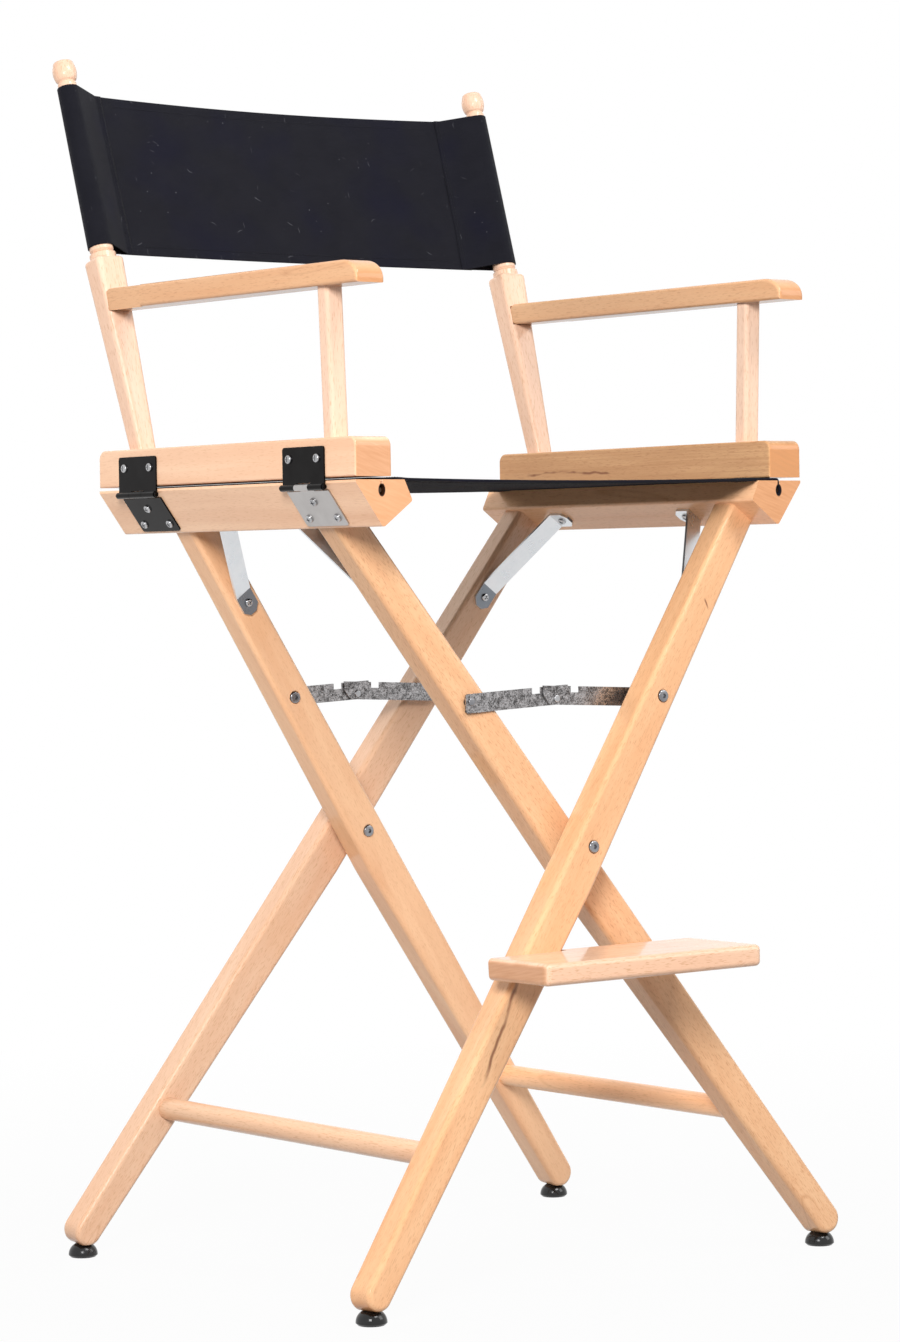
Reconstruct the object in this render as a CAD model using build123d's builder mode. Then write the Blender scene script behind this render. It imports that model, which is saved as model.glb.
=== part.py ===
"""Tall folding director's chair: beech scissor frame, hinged arms, canvas seat and back.

Millimetres. The floor is z = 0, the two scissor pivots lie over the origin and -Y is the front.
The outer frame carries the right seat rail on legs that run down to the left; the inner frame
carries the left seat rail on legs that run down to the right.
"""

import math
import os
from typing import NamedTuple

from build123d import *

# Clearances
running = 0.06
glue_line = 0.1
cloth_gap = 0.3
side_play = 0.3

# Scissor legs
leg_angle = 36.2
pivot_height = 414.0
outer_spread = 199.3
pivot_gap = 10.5
outer_splay = 0.105
inner_splay = 0.129
leg_thickness = 30.2
leg_top_width = 33.0
leg_belly_width = 41.5
leg_foot_width = 29.3
leg_belly_drop = 38.0
leg_reach = 389.0
leg_edge = 5.0

# Feet and stretchers
foot_height = 13.0
foot_radius = 14.5
foot_top_radius = 8.0
foot_waist_radius = 12.6
foot_waist_height = 8.8
foot_rim = 2.0
foot_flat = 0.8
foot_pin_radius = 2.5
foot_pin_length = 14.0
stretcher_radius = 11.0
stretcher_drop = 340.0
stretcher_socket = 10.0
stretcher_chamfer = 1.0

# Seat rails and their canvas slots
rail_width = 42.0
rail_outer_face = 52.0
rail_brow = 2.0
rail_top_width = 55.5
rail_length = 426.0
rail_middle = -1.0
rail_edge = 3.0
rail_brow_edge = 2.0
rail_inner_round = 8.0
slot_inset = 29.5
slot_width = 2.6
slot_bore_depth = 9.5
slot_bore_radius = 3.4
slot_bore_rise = 5.2

# Arm rails, posts and armrests
seam_gap = 3.0
arm_rail_width = 41.2
arm_rail_height = 36.5
arm_rail_edge = 2.0
arm_rail_roll = 9.0
arm_rail_foot = 3.0
post_inset = 22.2
post_from_rear = 46.0
post_rake = 0.306
post_flare = 0.0236
post_base = 20.5
post_shoulder_x = 33.0
post_shoulder_y = 28.5
post_shoulder = 200.0
post_corner = 6.0
post_top_round = 4.2
tenon_radius = 6.5
tenon_length = 20.0
arm_post_inset = 20.1
arm_post_from_front = 56.0
arm_post_flare = 0.0335
arm_post_width = 19.5
arm_post_depth = 16.5
arm_post_corner = 4.0
arm_post_length = 138.5
arm_tenon_length = 9.0
armrest_inset = 31.2
armrest_width = 32.0
armrest_thickness = 21.5
armrest_overhang = 7.0
armrest_roll = 25.0
armrest_lip = 4.0
armrest_tongue = 71.5
armrest_short_of_post = 6.7
armrest_neck_cut = 6.5
armrest_neck_round = 5.2
armrest_edge = 3.0

# Dowel and finial turned on the back post, above its shoulder
collar_radius = 13.3
collar_height = 5.0
groove_radius = 10.6
groove_height = 4.0
dowel_base_radius = 12.0
dowel_top_radius = 9.5
dowel_length = 178.0
finial_neck_height = 4.0
finial_neck_radius = 8.6
finial_radius = 12.2
finial_end_radius = 10.4
finial_height = 20.0
finial_belly_height = 9.0
finial_edge = 3.0

# Hinges
hinge_width = 65.0
hinge_thickness = 1.6
hinge_from_rear = 70.5
hinge_from_front = 79.0
upper_leaf_top = 34.0
lower_leaf_end = 47.0
leaf_setback = 7.5
leaf_corner = 3.0
knuckle_radius = 3.2
knuckle_out = 2.2
knuckle_drop = 3.5
knuckle_lift = 0.5
lug_overlap = 1.0
hinge_pin_radius = 1.7
pin_head_radius = 2.6
pin_head_length = 2.2
leaf_screw_spread = 22.0
upper_screw_rise = 23.0
lower_screw_first = 19.5
lower_screw_second = 38.0

# Screws and bolts
screw_head_radius = 4.2
screw_head_height = 2.4
screw_head_round = 1.7
screw_radius = 1.9
screw_length = 14.0
cross_width = 1.2
cross_length = 5.0
cross_depth = 1.2
bolt_head_radius = 6.0
bolt_head_height = 2.6
bolt_head_round = 1.6
bolt_socket_radius = 2.6
bolt_socket_depth = 1.8
pivot_bolt_radius = 4.0
pivot_nut_length = 20.0
spot_depth = 0.9
spot_margin = 0.8
spacer_radius = 10.0
brace_bolt_radius = 3.0
brace_collar_radius = 5.0
brace_rivet_radius = 3.6
brace_rivet_height = 1.4
brace_rivet_round = 0.8

# Locking braces, each of two flat links; the strip runs slightly askew to its two pivots
brace_along = 173.4
brace_height = 18.2
brace_thickness = 2.0
brace_stand_off = 2.6
brace_leg_end = 6.5
brace_leg_corner = 2.5
brace_joint_end = 16.0
brace_joint_cut_length = 7.4
brace_joint_cut_height = 8.7
brace_leg_offset = -1.4
brace_joint_offset = 3.2
brace_notch_length = 11.0
brace_notch_depth = 6.0
brace_notch_from_joint = 23.0
brace_bore_radius = 2.6

# Stays between legs and rails
stay_width = 20.0
stay_thickness = 2.5
stay_drop = 100.0
stay_spread = 62.0
stay_tab = 12.0
stay_point = 6.0

# Footrest
footrest_drop = 115.5
footrest_length = 265.0
footrest_overhang = 64.0
footrest_reach = 88.5
footrest_step = 17.5
footrest_thickness = 20.5
footrest_edge = 5.0
footrest_corner = 7.0
footrest_leg_gap = 1.5
footrest_screw_gap = 24.0
footrest_screw_radius = 2.2
footrest_screw_head = 4.2
footrest_screw_bite = 30.0

# Canvas
seat_cloth = 2.2
seat_hem = 4.2
seat_hem_width = 24.0
seat_hem_from_rail = 4.0
seat_inset = 7.0
seat_loop_radius = 3.0
seat_dowel_radius = 2.2
seat_dowel_inset = 3.0
seat_sag = 2.5
back_cloth = 1.1
back_start = 3.0
back_height = 171.0
back_bow_top = 25.0
back_bow_bottom = 17.0
back_seam = 40.0
back_seam_gap = 0.2

sin_leg = math.sin(math.radians(leg_angle))
cos_leg = math.cos(math.radians(leg_angle))
leg_centre_shift = leg_belly_width / 2 - leg_top_width / 2
outer_half = leg_thickness / 2 * math.hypot(1, outer_splay * cos_leg)
inner_half = leg_thickness / 2 * math.hypot(1, inner_splay * cos_leg)
inner_spread = outer_spread - outer_half - pivot_gap - inner_half


class Leg(NamedTuple):
    """A scissor leg: the side its top leans to, front or rear, and its place across the pivot."""

    lean: int
    side: int
    spread: float
    splay: float
    head: int

    def slope(self):
        """How far the leg closes in on the middle, per length along its side view."""
        return self.splay * cos_leg

    def stretch(self):
        return math.hypot(1, self.slope())

    def half(self):
        """Half of the leg's thickness, measured along Y."""
        return leg_thickness / 2 * self.stretch()

    def point(self, along, across=0.0, out=0.0):
        """A point along the leg from the pivot, across to its lower edge and outward from it."""
        return Vector(
            self.lean * (along * sin_leg + across * cos_leg),
            self.side * (self.spread - self.slope() * along + out),
            pivot_height + along * cos_leg - across * sin_leg,
        )

    def across_axis(self):
        return Vector(self.lean * cos_leg, 0, -sin_leg)

    def along_axis(self):
        return Vector(self.lean * sin_leg, -self.side * self.slope(), cos_leg).normalized()

    def plane(self, out=0.0):
        """The plane of the leg's face, its x across the leg and its y along it."""
        normal = self.across_axis().cross(self.along_axis())
        return Plane(self.point(0, 0, out), x_dir=self.across_axis(), z_dir=normal)

    def bolt_plane(self, along, across, out, facing):
        """A plane square to Y at a point of the leg, facing out from the chair or in to it."""
        return Plane(self.point(along, across, out), x_dir=(1, 0, 0), z_dir=(0, self.side * facing, 0))


outer_front = Leg(1, -1, outer_spread, outer_splay, 1)
outer_rear = Leg(1, 1, outer_spread, outer_splay, 1)
inner_front = Leg(-1, -1, inner_spread, inner_splay, -1)
inner_rear = Leg(-1, 1, inner_spread, inner_splay, -1)
legs = {
    "outer_front": outer_front,
    "outer_rear": outer_rear,
    "inner_front": inner_front,
    "inner_rear": inner_rear,
}

# The rounded foot end of every leg, and the glide under it
foot_end_radius = leg_foot_width / 2
foot_shift = foot_end_radius - leg_belly_width / 2
foot_end_height = foot_height + foot_end_radius - foot_flat
foot_along = -(pivot_height - foot_shift * sin_leg - foot_end_height) / cos_leg

# The leg's middle line at the stretcher
stretcher_share = (stretcher_drop - leg_belly_drop) / (-foot_along - leg_belly_drop)
stretcher_leg_width = leg_belly_width + (leg_foot_width - leg_belly_width) * stretcher_share
stretcher_shift = stretcher_leg_width / 2 - leg_belly_width / 2

# The seat rail's corners, from the face that the legs butt on up to its level top
rail_outer_across = -leg_centre_shift + rail_width / 2
rail_inner_across = -leg_centre_shift - rail_width / 2
rail_face_x = leg_reach * sin_leg
rail_face_z = pivot_height + leg_reach * cos_leg
rail_low = (rail_face_x + rail_outer_across * cos_leg, rail_face_z - rail_outer_across * sin_leg)
rail_tip = (rail_face_x + rail_inner_across * cos_leg, rail_face_z - rail_inner_across * sin_leg)
rail_outer_x = rail_low[0] + rail_outer_face * sin_leg
rail_shoulder = rail_low[1] + rail_outer_face * cos_leg
rail_top = rail_shoulder + rail_brow
rail_inner_x = rail_outer_x - rail_top_width
slot_x = rail_outer_x - slot_inset
slot_bore_z = rail_top - slot_bore_depth
rail_rear = rail_middle + rail_length / 2
rail_front = rail_middle - rail_length / 2

# The hinges, arm rails, posts and armrests, from the seat rail's outer face and ends
knuckle_x = rail_outer_x + knuckle_out
knuckle_z = rail_shoulder - knuckle_drop
hinge_rear_y = rail_rear - hinge_from_rear
hinge_front_y = rail_front + hinge_from_front
arm_bottom = rail_top + seam_gap
arm_top = arm_bottom + arm_rail_height
post_x = rail_outer_x - post_inset
post_y = rail_rear - post_from_rear
arm_post_x = rail_outer_x - arm_post_inset
arm_post_y = rail_front + arm_post_from_front
armrest_bottom = arm_top + arm_post_length
armrest_inner = rail_outer_x - armrest_inset
armrest_front = rail_front - armrest_overhang
armrest_end = post_y + post_rake * (arm_post_length + armrest_thickness / 2) - armrest_short_of_post
armrest_shoulder = armrest_end - armrest_tongue

# The footrest, from the front face of its leg at the board's own level
footrest_bottom = pivot_height - footrest_drop
footrest_along = (footrest_thickness / 2 - footrest_drop) / cos_leg
footrest_face = outer_front.point(footrest_along, 0, outer_half).Y
footrest_left = outer_front.point(footrest_along).X - footrest_overhang
footrest_right = footrest_left + footrest_length
footrest_front = footrest_face - footrest_reach
footrest_step_rear = footrest_face + footrest_step

os.makedirs("parts", exist_ok=True)


def save(part, name):
    """Labels one piece and writes its file."""
    part.label = name
    export_step(part, f"parts/{name}.step")


def drill(planes, radius, depth):
    """Blind bores that start at each plane and run back from the way it faces."""
    with Locations(*planes):
        Cylinder(
            radius,
            depth,
            align=(Align.CENTER, Align.CENTER, Align.MAX),
            mode=Mode.SUBTRACT,
        )


def spot_face(planes, radius):
    """Shallow level seats: everything in front of each plane is cleared."""
    with Locations(*planes):
        Cylinder(
            radius,
            leg_thickness / 2,
            align=(Align.CENTER, Align.CENTER, Align.MIN),
            mode=Mode.SUBTRACT,
        )


def copies(part, planes):
    """One group of separate solids, a copy of the part on each plane."""
    with BuildPart() as group:
        with Locations(*planes):
            add(part)
    return group.part


def make_screw():
    """A pan-head screw with a cross recess; its seat is z = 0 and it runs down."""
    with BuildPart() as screw:
        Cylinder(screw_radius, screw_length, align=(Align.CENTER, Align.CENTER, Align.MAX))
        with BuildSketch():
            Circle(screw_head_radius)
        extrude(amount=screw_head_height)
        fillet(screw.faces().sort_by(Axis.Z)[-1].edges(), radius=screw_head_round)
        with BuildSketch(Plane.XY.offset(screw_head_height)):
            Rectangle(cross_length, cross_width)
            Rectangle(cross_width, cross_length)
        extrude(amount=-cross_depth, mode=Mode.SUBTRACT)
    return screw.part


def make_bolt(radius, length):
    """A button-head bolt with a hexagon socket; its seat is z = 0 and it runs down."""
    with BuildPart() as bolt:
        Cylinder(radius, length, align=(Align.CENTER, Align.CENTER, Align.MAX))
        with BuildSketch():
            Circle(bolt_head_radius)
        extrude(amount=bolt_head_height)
        fillet(bolt.faces().sort_by(Axis.Z)[-1].edges(), radius=bolt_head_round)
        with BuildSketch(Plane.XY.offset(bolt_head_height)):
            RegularPolygon(bolt_socket_radius, 6)
        extrude(amount=-bolt_socket_depth, mode=Mode.SUBTRACT)
    return bolt.part


def runs_along(direction):
    """A filter that keeps straight edges along a direction."""

    def test(edge):
        if edge.geom_type != GeomType.LINE:
            return False
        return abs((edge @ 1 - edge @ 0).normalized().dot(direction)) > 0.9999

    return test


def stay_path(leg):
    """The stay's line where it lies on rail and leg, as (distance from the middle, along the leg)."""
    leg_screw = leg_reach - stay_drop
    face = leg.spread - leg.half()
    screw_y = face - leg.slope() * leg_screw
    rail_screw = screw_y - stay_spread
    leg_bend = leg_screw + stay_tab
    return [
        (rail_screw - stay_tab, leg_reach),
        (rail_screw + stay_tab, leg_reach),
        (face - leg.slope() * leg_bend, leg_bend),
        (face - leg.slope() * (leg_screw - stay_tab), leg_screw - stay_tab),
    ]


def thicken(path, thickness):
    """The corners of a bent strip: the path, and back along the line a thickness to its right."""
    inner = []
    for index, point in enumerate(path):
        normals = []
        for start in (index - 1, index):
            if 0 <= start < len(path) - 1:
                step = Vector(*path[start + 1]) - Vector(*path[start])
                normals.append(Vector(step.Y, -step.X).normalized())
        bisector = (normals[0] + normals[-1]).normalized()
        reach = thickness / bisector.dot(normals[0])
        inner.append((point[0] + bisector.X * reach, point[1] + bisector.Y * reach))
    return path + inner[::-1]


def stay_screw_planes(leg):
    """Seats of the stay's two screws, on its tabs under the rail and on the leg."""
    path = stay_path(leg)
    rail_y = (path[0][0] + path[1][0]) / 2
    leg_along = (path[2][1] + path[3][1]) / 2
    across = -leg_centre_shift
    rail_seat = Vector(
        leg.lean * ((leg_reach - stay_thickness) * sin_leg + across * cos_leg),
        leg.side * rail_y,
        pivot_height + (leg_reach - stay_thickness) * cos_leg - across * sin_leg,
    )
    rail_normal = Vector(-leg.lean * sin_leg, 0, -cos_leg)
    leg_seat = leg.point(leg_along, across, -leg.half() - stay_thickness * leg.stretch())
    leg_normal = leg.across_axis().cross(leg.along_axis()).normalized()
    if leg_normal.Y * leg.side > 0:
        leg_normal = -leg_normal
    across_axis = leg.across_axis()
    return [
        Plane(rail_seat, x_dir=across_axis, z_dir=rail_normal),
        Plane(leg_seat, x_dir=across_axis, z_dir=leg_normal),
    ]


def make_stay(leg):
    """A flat strip bent onto the rail's face and the leg's inner face, with pointed tabs."""
    rail_axis = Vector(leg.lean * sin_leg, 0, cos_leg)
    across = leg.across_axis()
    outward = Vector(0, leg.side, 0)
    middle = Vector(0, 0, pivot_height) - across * leg_centre_shift
    path = stay_path(leg)
    screws = stay_screw_planes(leg)
    with BuildPart() as stay:
        with BuildSketch(Plane(middle, x_dir=outward, z_dir=outward.cross(rail_axis))):
            with BuildLine():
                Polyline(*thicken(path, stay_thickness), close=True)
            make_face()
        extrude(amount=stay_width / 2, both=True)
        rail_tab = stay.edges().filter_by(runs_along(rail_axis))
        chamfer(rail_tab.sort_by(Axis((0, 0, 0), outward))[:2], length=stay_point)
        leg_tab = stay.edges().filter_by(runs_along(screws[1].z_dir))
        chamfer(leg_tab.sort_by(Axis((0, 0, 0), rail_axis))[:2], length=stay_point)
        drill(screws, screw_radius + glue_line, 3 * stay_thickness)
    return stay.part


def rail_face(lean):
    """The face of a seat rail that its legs butt on."""
    return Plane(
        (lean * rail_face_x, 0, rail_face_z),
        x_dir=(0, 1, 0),
        z_dir=(lean * sin_leg, 0, cos_leg),
    )


def make_leg(leg, with_footrest):
    """A tapered leg: its upper edge is straight, its lower edge swells to the pivot."""
    stretch = leg.stretch()
    upper = -leg_belly_width / 2
    top = leg_reach * stretch + leg_thickness * leg.slope()
    belly = -leg_belly_drop * stretch
    heel = foot_along * stretch
    plane = leg.plane()
    head_out = leg.head * leg.half()
    with BuildPart() as body:
        with BuildSketch(plane):
            with BuildLine():
                Polyline(
                    (upper, heel),
                    (upper, top),
                    (upper + leg_top_width, top),
                    (upper + leg_belly_width, belly),
                    (upper + leg_foot_width, heel),
                )
                ThreePointArc(
                    (upper + leg_foot_width, heel),
                    (upper + foot_end_radius, heel - foot_end_radius),
                    (upper, heel),
                )
            make_face()
        extrude(amount=leg_thickness / 2, both=True)
        sides = body.faces().sort_by(Axis(plane.origin, plane.z_dir))
        rims = sides[0].edges() + sides[-1].edges()
        fillet(rims.sort_by(Axis(plane.origin, plane.y_dir))[:-2], radius=leg_edge)
        split(bisect_by=rail_face(leg.lean), keep=Keep.BOTTOM)
        # Pivot and brace bores, with level seats for bolt heads, spacers and collars
        for along, bore in ((0, pivot_bolt_radius), (brace_along, brace_bolt_radius)):
            with Locations(leg.bolt_plane(along, 0, 0, 1)):
                Cylinder(bore + running, 2 * leg_thickness, mode=Mode.SUBTRACT)
            head_seat = leg.bolt_plane(along, 0, head_out - leg.head * spot_depth, leg.head)
            spot_face([head_seat], bolt_head_radius + spot_margin)
        spot_face(
            [leg.bolt_plane(0, 0, -head_out + leg.head * spot_depth, -leg.head)],
            spacer_radius + spot_margin,
        )
        spot_face(
            [leg.bolt_plane(brace_along, 0, -head_out + leg.head * spot_depth, -leg.head)],
            brace_collar_radius + spot_margin,
        )
        # Blind socket for the stretcher, in the face that looks to the middle of the chair
        drill(
            [leg.bolt_plane(-stretcher_drop, stretcher_shift, -leg.half() - stretcher_radius, -1)],
            stretcher_radius + glue_line,
            stretcher_socket + stretcher_radius,
        )
        # Flat and bore for the glide
        foot = leg.point(foot_along, foot_shift)
        with Locations((foot.X, foot.Y, foot_height)):
            Box(
                2 * leg_foot_width,
                2 * leg_thickness,
                foot_end_radius,
                align=(Align.CENTER, Align.CENTER, Align.MAX),
                mode=Mode.SUBTRACT,
            )
        drill(
            [Plane((foot.X, foot.Y, foot_height), z_dir=(0, 0, -1))],
            foot_pin_radius + running,
            foot_pin_length + side_play,
        )
        drill(stay_screw_planes(leg)[1:], screw_radius + glue_line, screw_length + side_play)
        if with_footrest:
            for seat in footrest_screw_planes():
                with Locations(seat):
                    CounterSinkHole(
                        footrest_screw_radius + glue_line,
                        footrest_screw_head + glue_line,
                        depth=2 * leg_thickness,
                    )
    return body.part


def footrest_screw_planes():
    """Seats of the footrest's screws, on the rear face of the outer front leg."""
    leg = outer_front
    face = leg.plane(-leg.half())
    normal = face.z_dir if face.z_dir.Y > 0 else -face.z_dir
    seats = []
    for offset in (-footrest_screw_gap / 2, footrest_screw_gap / 2):
        seat = leg.point(footrest_along + offset * sin_leg, offset * cos_leg, -leg.half())
        seats.append(Plane(seat, x_dir=leg.across_axis(), z_dir=normal))
    return seats


def make_foot():
    """A domed glide with a pin for the leg's bore, standing on z = 0."""
    with BuildPart() as foot:
        with BuildSketch(Plane.XZ):
            with BuildLine():
                Polyline(
                    (foot_top_radius, foot_height),
                    (foot_pin_radius, foot_height),
                    (foot_pin_radius, foot_height + foot_pin_length),
                    (0, foot_height + foot_pin_length),
                    (0, 0),
                    (foot_radius - foot_rim, 0),
                    (foot_radius, foot_rim),
                )
                ThreePointArc(
                    (foot_radius, foot_rim),
                    (foot_waist_radius, foot_waist_height),
                    (foot_top_radius, foot_height),
                )
            make_face()
        revolve(axis=Axis.Z)
    return foot.part


def make_stretcher(leg):
    """A round bar let into the facing sides of a pair of legs."""
    middle = leg.point(-stretcher_drop, stretcher_shift)
    face = leg.spread + leg.slope() * stretcher_drop - leg.half()
    with BuildPart() as bar:
        with BuildSketch(Plane((middle.X, 0, middle.Z), x_dir=(1, 0, 0), z_dir=(0, 1, 0))):
            Circle(stretcher_radius)
        extrude(amount=face + stretcher_socket - glue_line, both=True)
        chamfer(bar.edges().filter_by(GeomType.CIRCLE), length=stretcher_chamfer)
    return bar.part


def lower_leaf_plane(lean, y):
    """On the rail's sloping outer face, from its shoulder; local y runs down the slope."""
    return Plane(
        (lean * rail_outer_x, y, rail_shoulder),
        x_dir=(0, -lean, 0),
        z_dir=(lean * cos_leg, 0, -sin_leg),
    )


def upper_leaf_plane(lean, y):
    """On the arm rail's outer face, level with the seat rail's shoulder; local y runs up."""
    return Plane((lean * rail_outer_x, y, rail_shoulder), x_dir=(0, lean, 0), z_dir=(lean, 0, 0))


def seats_on(plane, spots):
    """Planes for screw heads on a leaf, at spots of its face."""
    return [
        Plane(
            plane.from_local_coords((spot[0], spot[1], hinge_thickness)),
            x_dir=plane.x_dir,
            z_dir=plane.z_dir,
        )
        for spot in spots
    ]


def lower_screw_planes(lean, y):
    spots = [
        (0, lower_screw_first),
        (-leaf_screw_spread, lower_screw_second),
        (leaf_screw_spread, lower_screw_second),
    ]
    return seats_on(lower_leaf_plane(lean, y), spots)


def upper_screw_planes(lean, y):
    spots = [(-leaf_screw_spread, upper_screw_rise), (leaf_screw_spread, upper_screw_rise)]
    return seats_on(upper_leaf_plane(lean, y), spots)


def knuckle(lean, start, end, lug):
    """A length of hinge barrel with the lug that joins it to its leaf, in the active part."""
    with BuildSketch(Plane.XZ.offset(-end)) as section:
        with Locations((lean * knuckle_x, knuckle_z)):
            Circle(knuckle_radius)
        with BuildLine():
            Polyline(*[(lean * x, z) for x, z in lug], close=True)
        make_face()
    extrude(section.sketch, amount=end - start)


def finish_leaf(lean, y, screws):
    """Bores a leaf for its pin and its screws, in the active part."""
    with Locations(Plane((lean * knuckle_x, y, knuckle_z), z_dir=(0, 1, 0))):
        Cylinder(hinge_pin_radius + running, 2 * hinge_width, mode=Mode.SUBTRACT)
    drill(screws, screw_radius + glue_line, 3 * hinge_thickness)


def make_upper_leaf(lean, y):
    """The leaf on the arm rail, with the two outer lengths of the barrel."""
    foot = knuckle_z + knuckle_radius + side_play - rail_shoulder + knuckle_lift
    lug = [
        (rail_outer_x, knuckle_z),
        (rail_outer_x + hinge_thickness, knuckle_z),
        (rail_outer_x + hinge_thickness, rail_shoulder + foot + knuckle_lift),
        (rail_outer_x, rail_shoulder + foot + knuckle_lift),
    ]
    with BuildPart() as leaf:
        with BuildSketch(upper_leaf_plane(lean, y)) as outline:
            with Locations((0, (foot + upper_leaf_top) / 2)):
                Rectangle(hinge_width, upper_leaf_top - foot)
            fillet(outline.vertices().group_by(Axis.Y)[-1], radius=leaf_corner)
        extrude(amount=hinge_thickness)
        for side in (-1, 1):
            ends = sorted((y + side * (hinge_width / 6 + side_play / 2), y + side * hinge_width / 2))
            knuckle(lean, ends[0], ends[1], lug)
        finish_leaf(lean, y, upper_screw_planes(lean, y))
    return leaf.part


def make_lower_leaf(lean, y):
    """The leaf on the seat rail, with the middle length of the barrel."""
    slope = lower_leaf_plane(1, 0)
    tail = leaf_setback + lug_overlap
    corners = [(0, 0), (0, tail), (hinge_thickness, tail), (hinge_thickness, 0)]
    lug = []
    for height, down in corners:
        point = slope.from_local_coords((0, down, height))
        lug.append((point.X, point.Z))
    half = hinge_width / 6 - side_play / 2
    with BuildPart() as leaf:
        with BuildSketch(lower_leaf_plane(lean, y)) as outline:
            with Locations((0, (leaf_setback + lower_leaf_end) / 2)):
                Rectangle(hinge_width, lower_leaf_end - leaf_setback)
            fillet(outline.vertices().group_by(Axis.Y)[-1], radius=leaf_corner)
        extrude(amount=hinge_thickness)
        knuckle(lean, y - half, y + half, lug)
        finish_leaf(lean, y, lower_screw_planes(lean, y))
    return leaf.part


def make_hinge_pin(lean, y):
    with BuildPart() as pin:
        with BuildSketch(Plane((lean * knuckle_x, y, knuckle_z), x_dir=(1, 0, 0), z_dir=(0, 1, 0))):
            Circle(hinge_pin_radius)
        extrude(amount=hinge_width / 2 + pin_head_length, both=True)
        for side in (-1, 1):
            start = Plane(
                (lean * knuckle_x, y + side * (hinge_width / 2 + running), knuckle_z),
                x_dir=(1, 0, 0),
                z_dir=(0, side, 0),
            )
            with BuildSketch(start):
                Circle(pin_head_radius)
            extrude(amount=pin_head_length)
        rims = pin.edges().filter_by(GeomType.CIRCLE).sort_by(Axis.Y)
        fillet([rims[0], rims[-1]], radius=pin_head_length / 2)
    return pin.part


def make_seat_rail(lean, rail_legs):
    """A bar square to the legs with its top planed level and a keyhole slot for the canvas."""
    brow_x = rail_outer_x - side_play
    corners = [
        (brow_x, rail_top),
        (brow_x, rail_shoulder - side_play * cos_leg / sin_leg),
        rail_low,
        rail_tip,
        (rail_inner_x, rail_top),
    ]
    with BuildPart() as rail:
        with BuildSketch(Plane.XZ.offset(-rail_rear)) as section:
            with BuildLine():
                Polyline(*[(lean * x, z) for x, z in corners], close=True)
            make_face()
            rows = section.vertices().group_by(Axis.Y)
            upper = rows[-1].sort_by(Axis((0, 0, 0), (lean, 0, 0)))
            fillet(rows[0] + rows[1], radius=rail_edge)
            fillet(upper[-1], radius=rail_brow_edge)
            fillet(upper[0], radius=rail_inner_round)
            with Locations((lean * slot_x, slot_bore_z)):
                Ellipse(slot_bore_radius, slot_bore_rise, mode=Mode.SUBTRACT)
            with Locations((lean * slot_x, rail_top)):
                Rectangle(slot_width, 2 * slot_bore_depth, mode=Mode.SUBTRACT)
        extrude(amount=rail_length)
        seats = lower_screw_planes(lean, hinge_front_y) + lower_screw_planes(lean, hinge_rear_y)
        seats += [stay_screw_planes(leg)[0] for leg in rail_legs]
        drill(seats, screw_radius + glue_line, screw_length + side_play)
    return rail.part


def post_plane(lean):
    """Square to the back post's axis, at its foot on the arm rail."""
    return Plane(
        (lean * post_x, post_y, arm_top),
        x_dir=(1, 0, 0),
        z_dir=(lean * post_flare, post_rake, 1),
    )


def arm_post_plane(lean):
    """Square to the arm post's axis, at its foot on the arm rail."""
    return Plane(
        (lean * arm_post_x, arm_post_y, arm_top),
        x_dir=(1, 0, 0),
        z_dir=(lean * arm_post_flare, 0, 1),
    )


def make_arm_rail(lean):
    """The upper half of the rail, its two ends rolled over at the top."""
    with BuildPart() as rail:
        with BuildSketch(Plane.YZ.offset(lean * (rail_outer_x - arm_rail_width / 2))) as side:
            with Locations((rail_middle, arm_bottom + arm_rail_height / 2)):
                Rectangle(rail_length, arm_rail_height)
            rows = side.vertices().group_by(Axis.Y)
            fillet(rows[-1], radius=arm_rail_roll)
            fillet(rows[0], radius=arm_rail_foot)
        extrude(amount=arm_rail_width / 2, both=True)
        sides = rail.faces().sort_by(Axis.X)
        fillet(sides[0].edges() + sides[-1].edges(), radius=arm_rail_edge)
        for plane in (post_plane(lean), arm_post_plane(lean)):
            drill(
                [plane.offset(tenon_length)],
                tenon_radius + glue_line,
                2 * tenon_length + side_play,
            )
        seats = upper_screw_planes(lean, hinge_front_y) + upper_screw_planes(lean, hinge_rear_y)
        drill(seats, screw_radius + glue_line, screw_length + side_play)
    return rail.part


def armrest_x(lean):
    return lean * (armrest_inner + armrest_width / 2)


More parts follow.
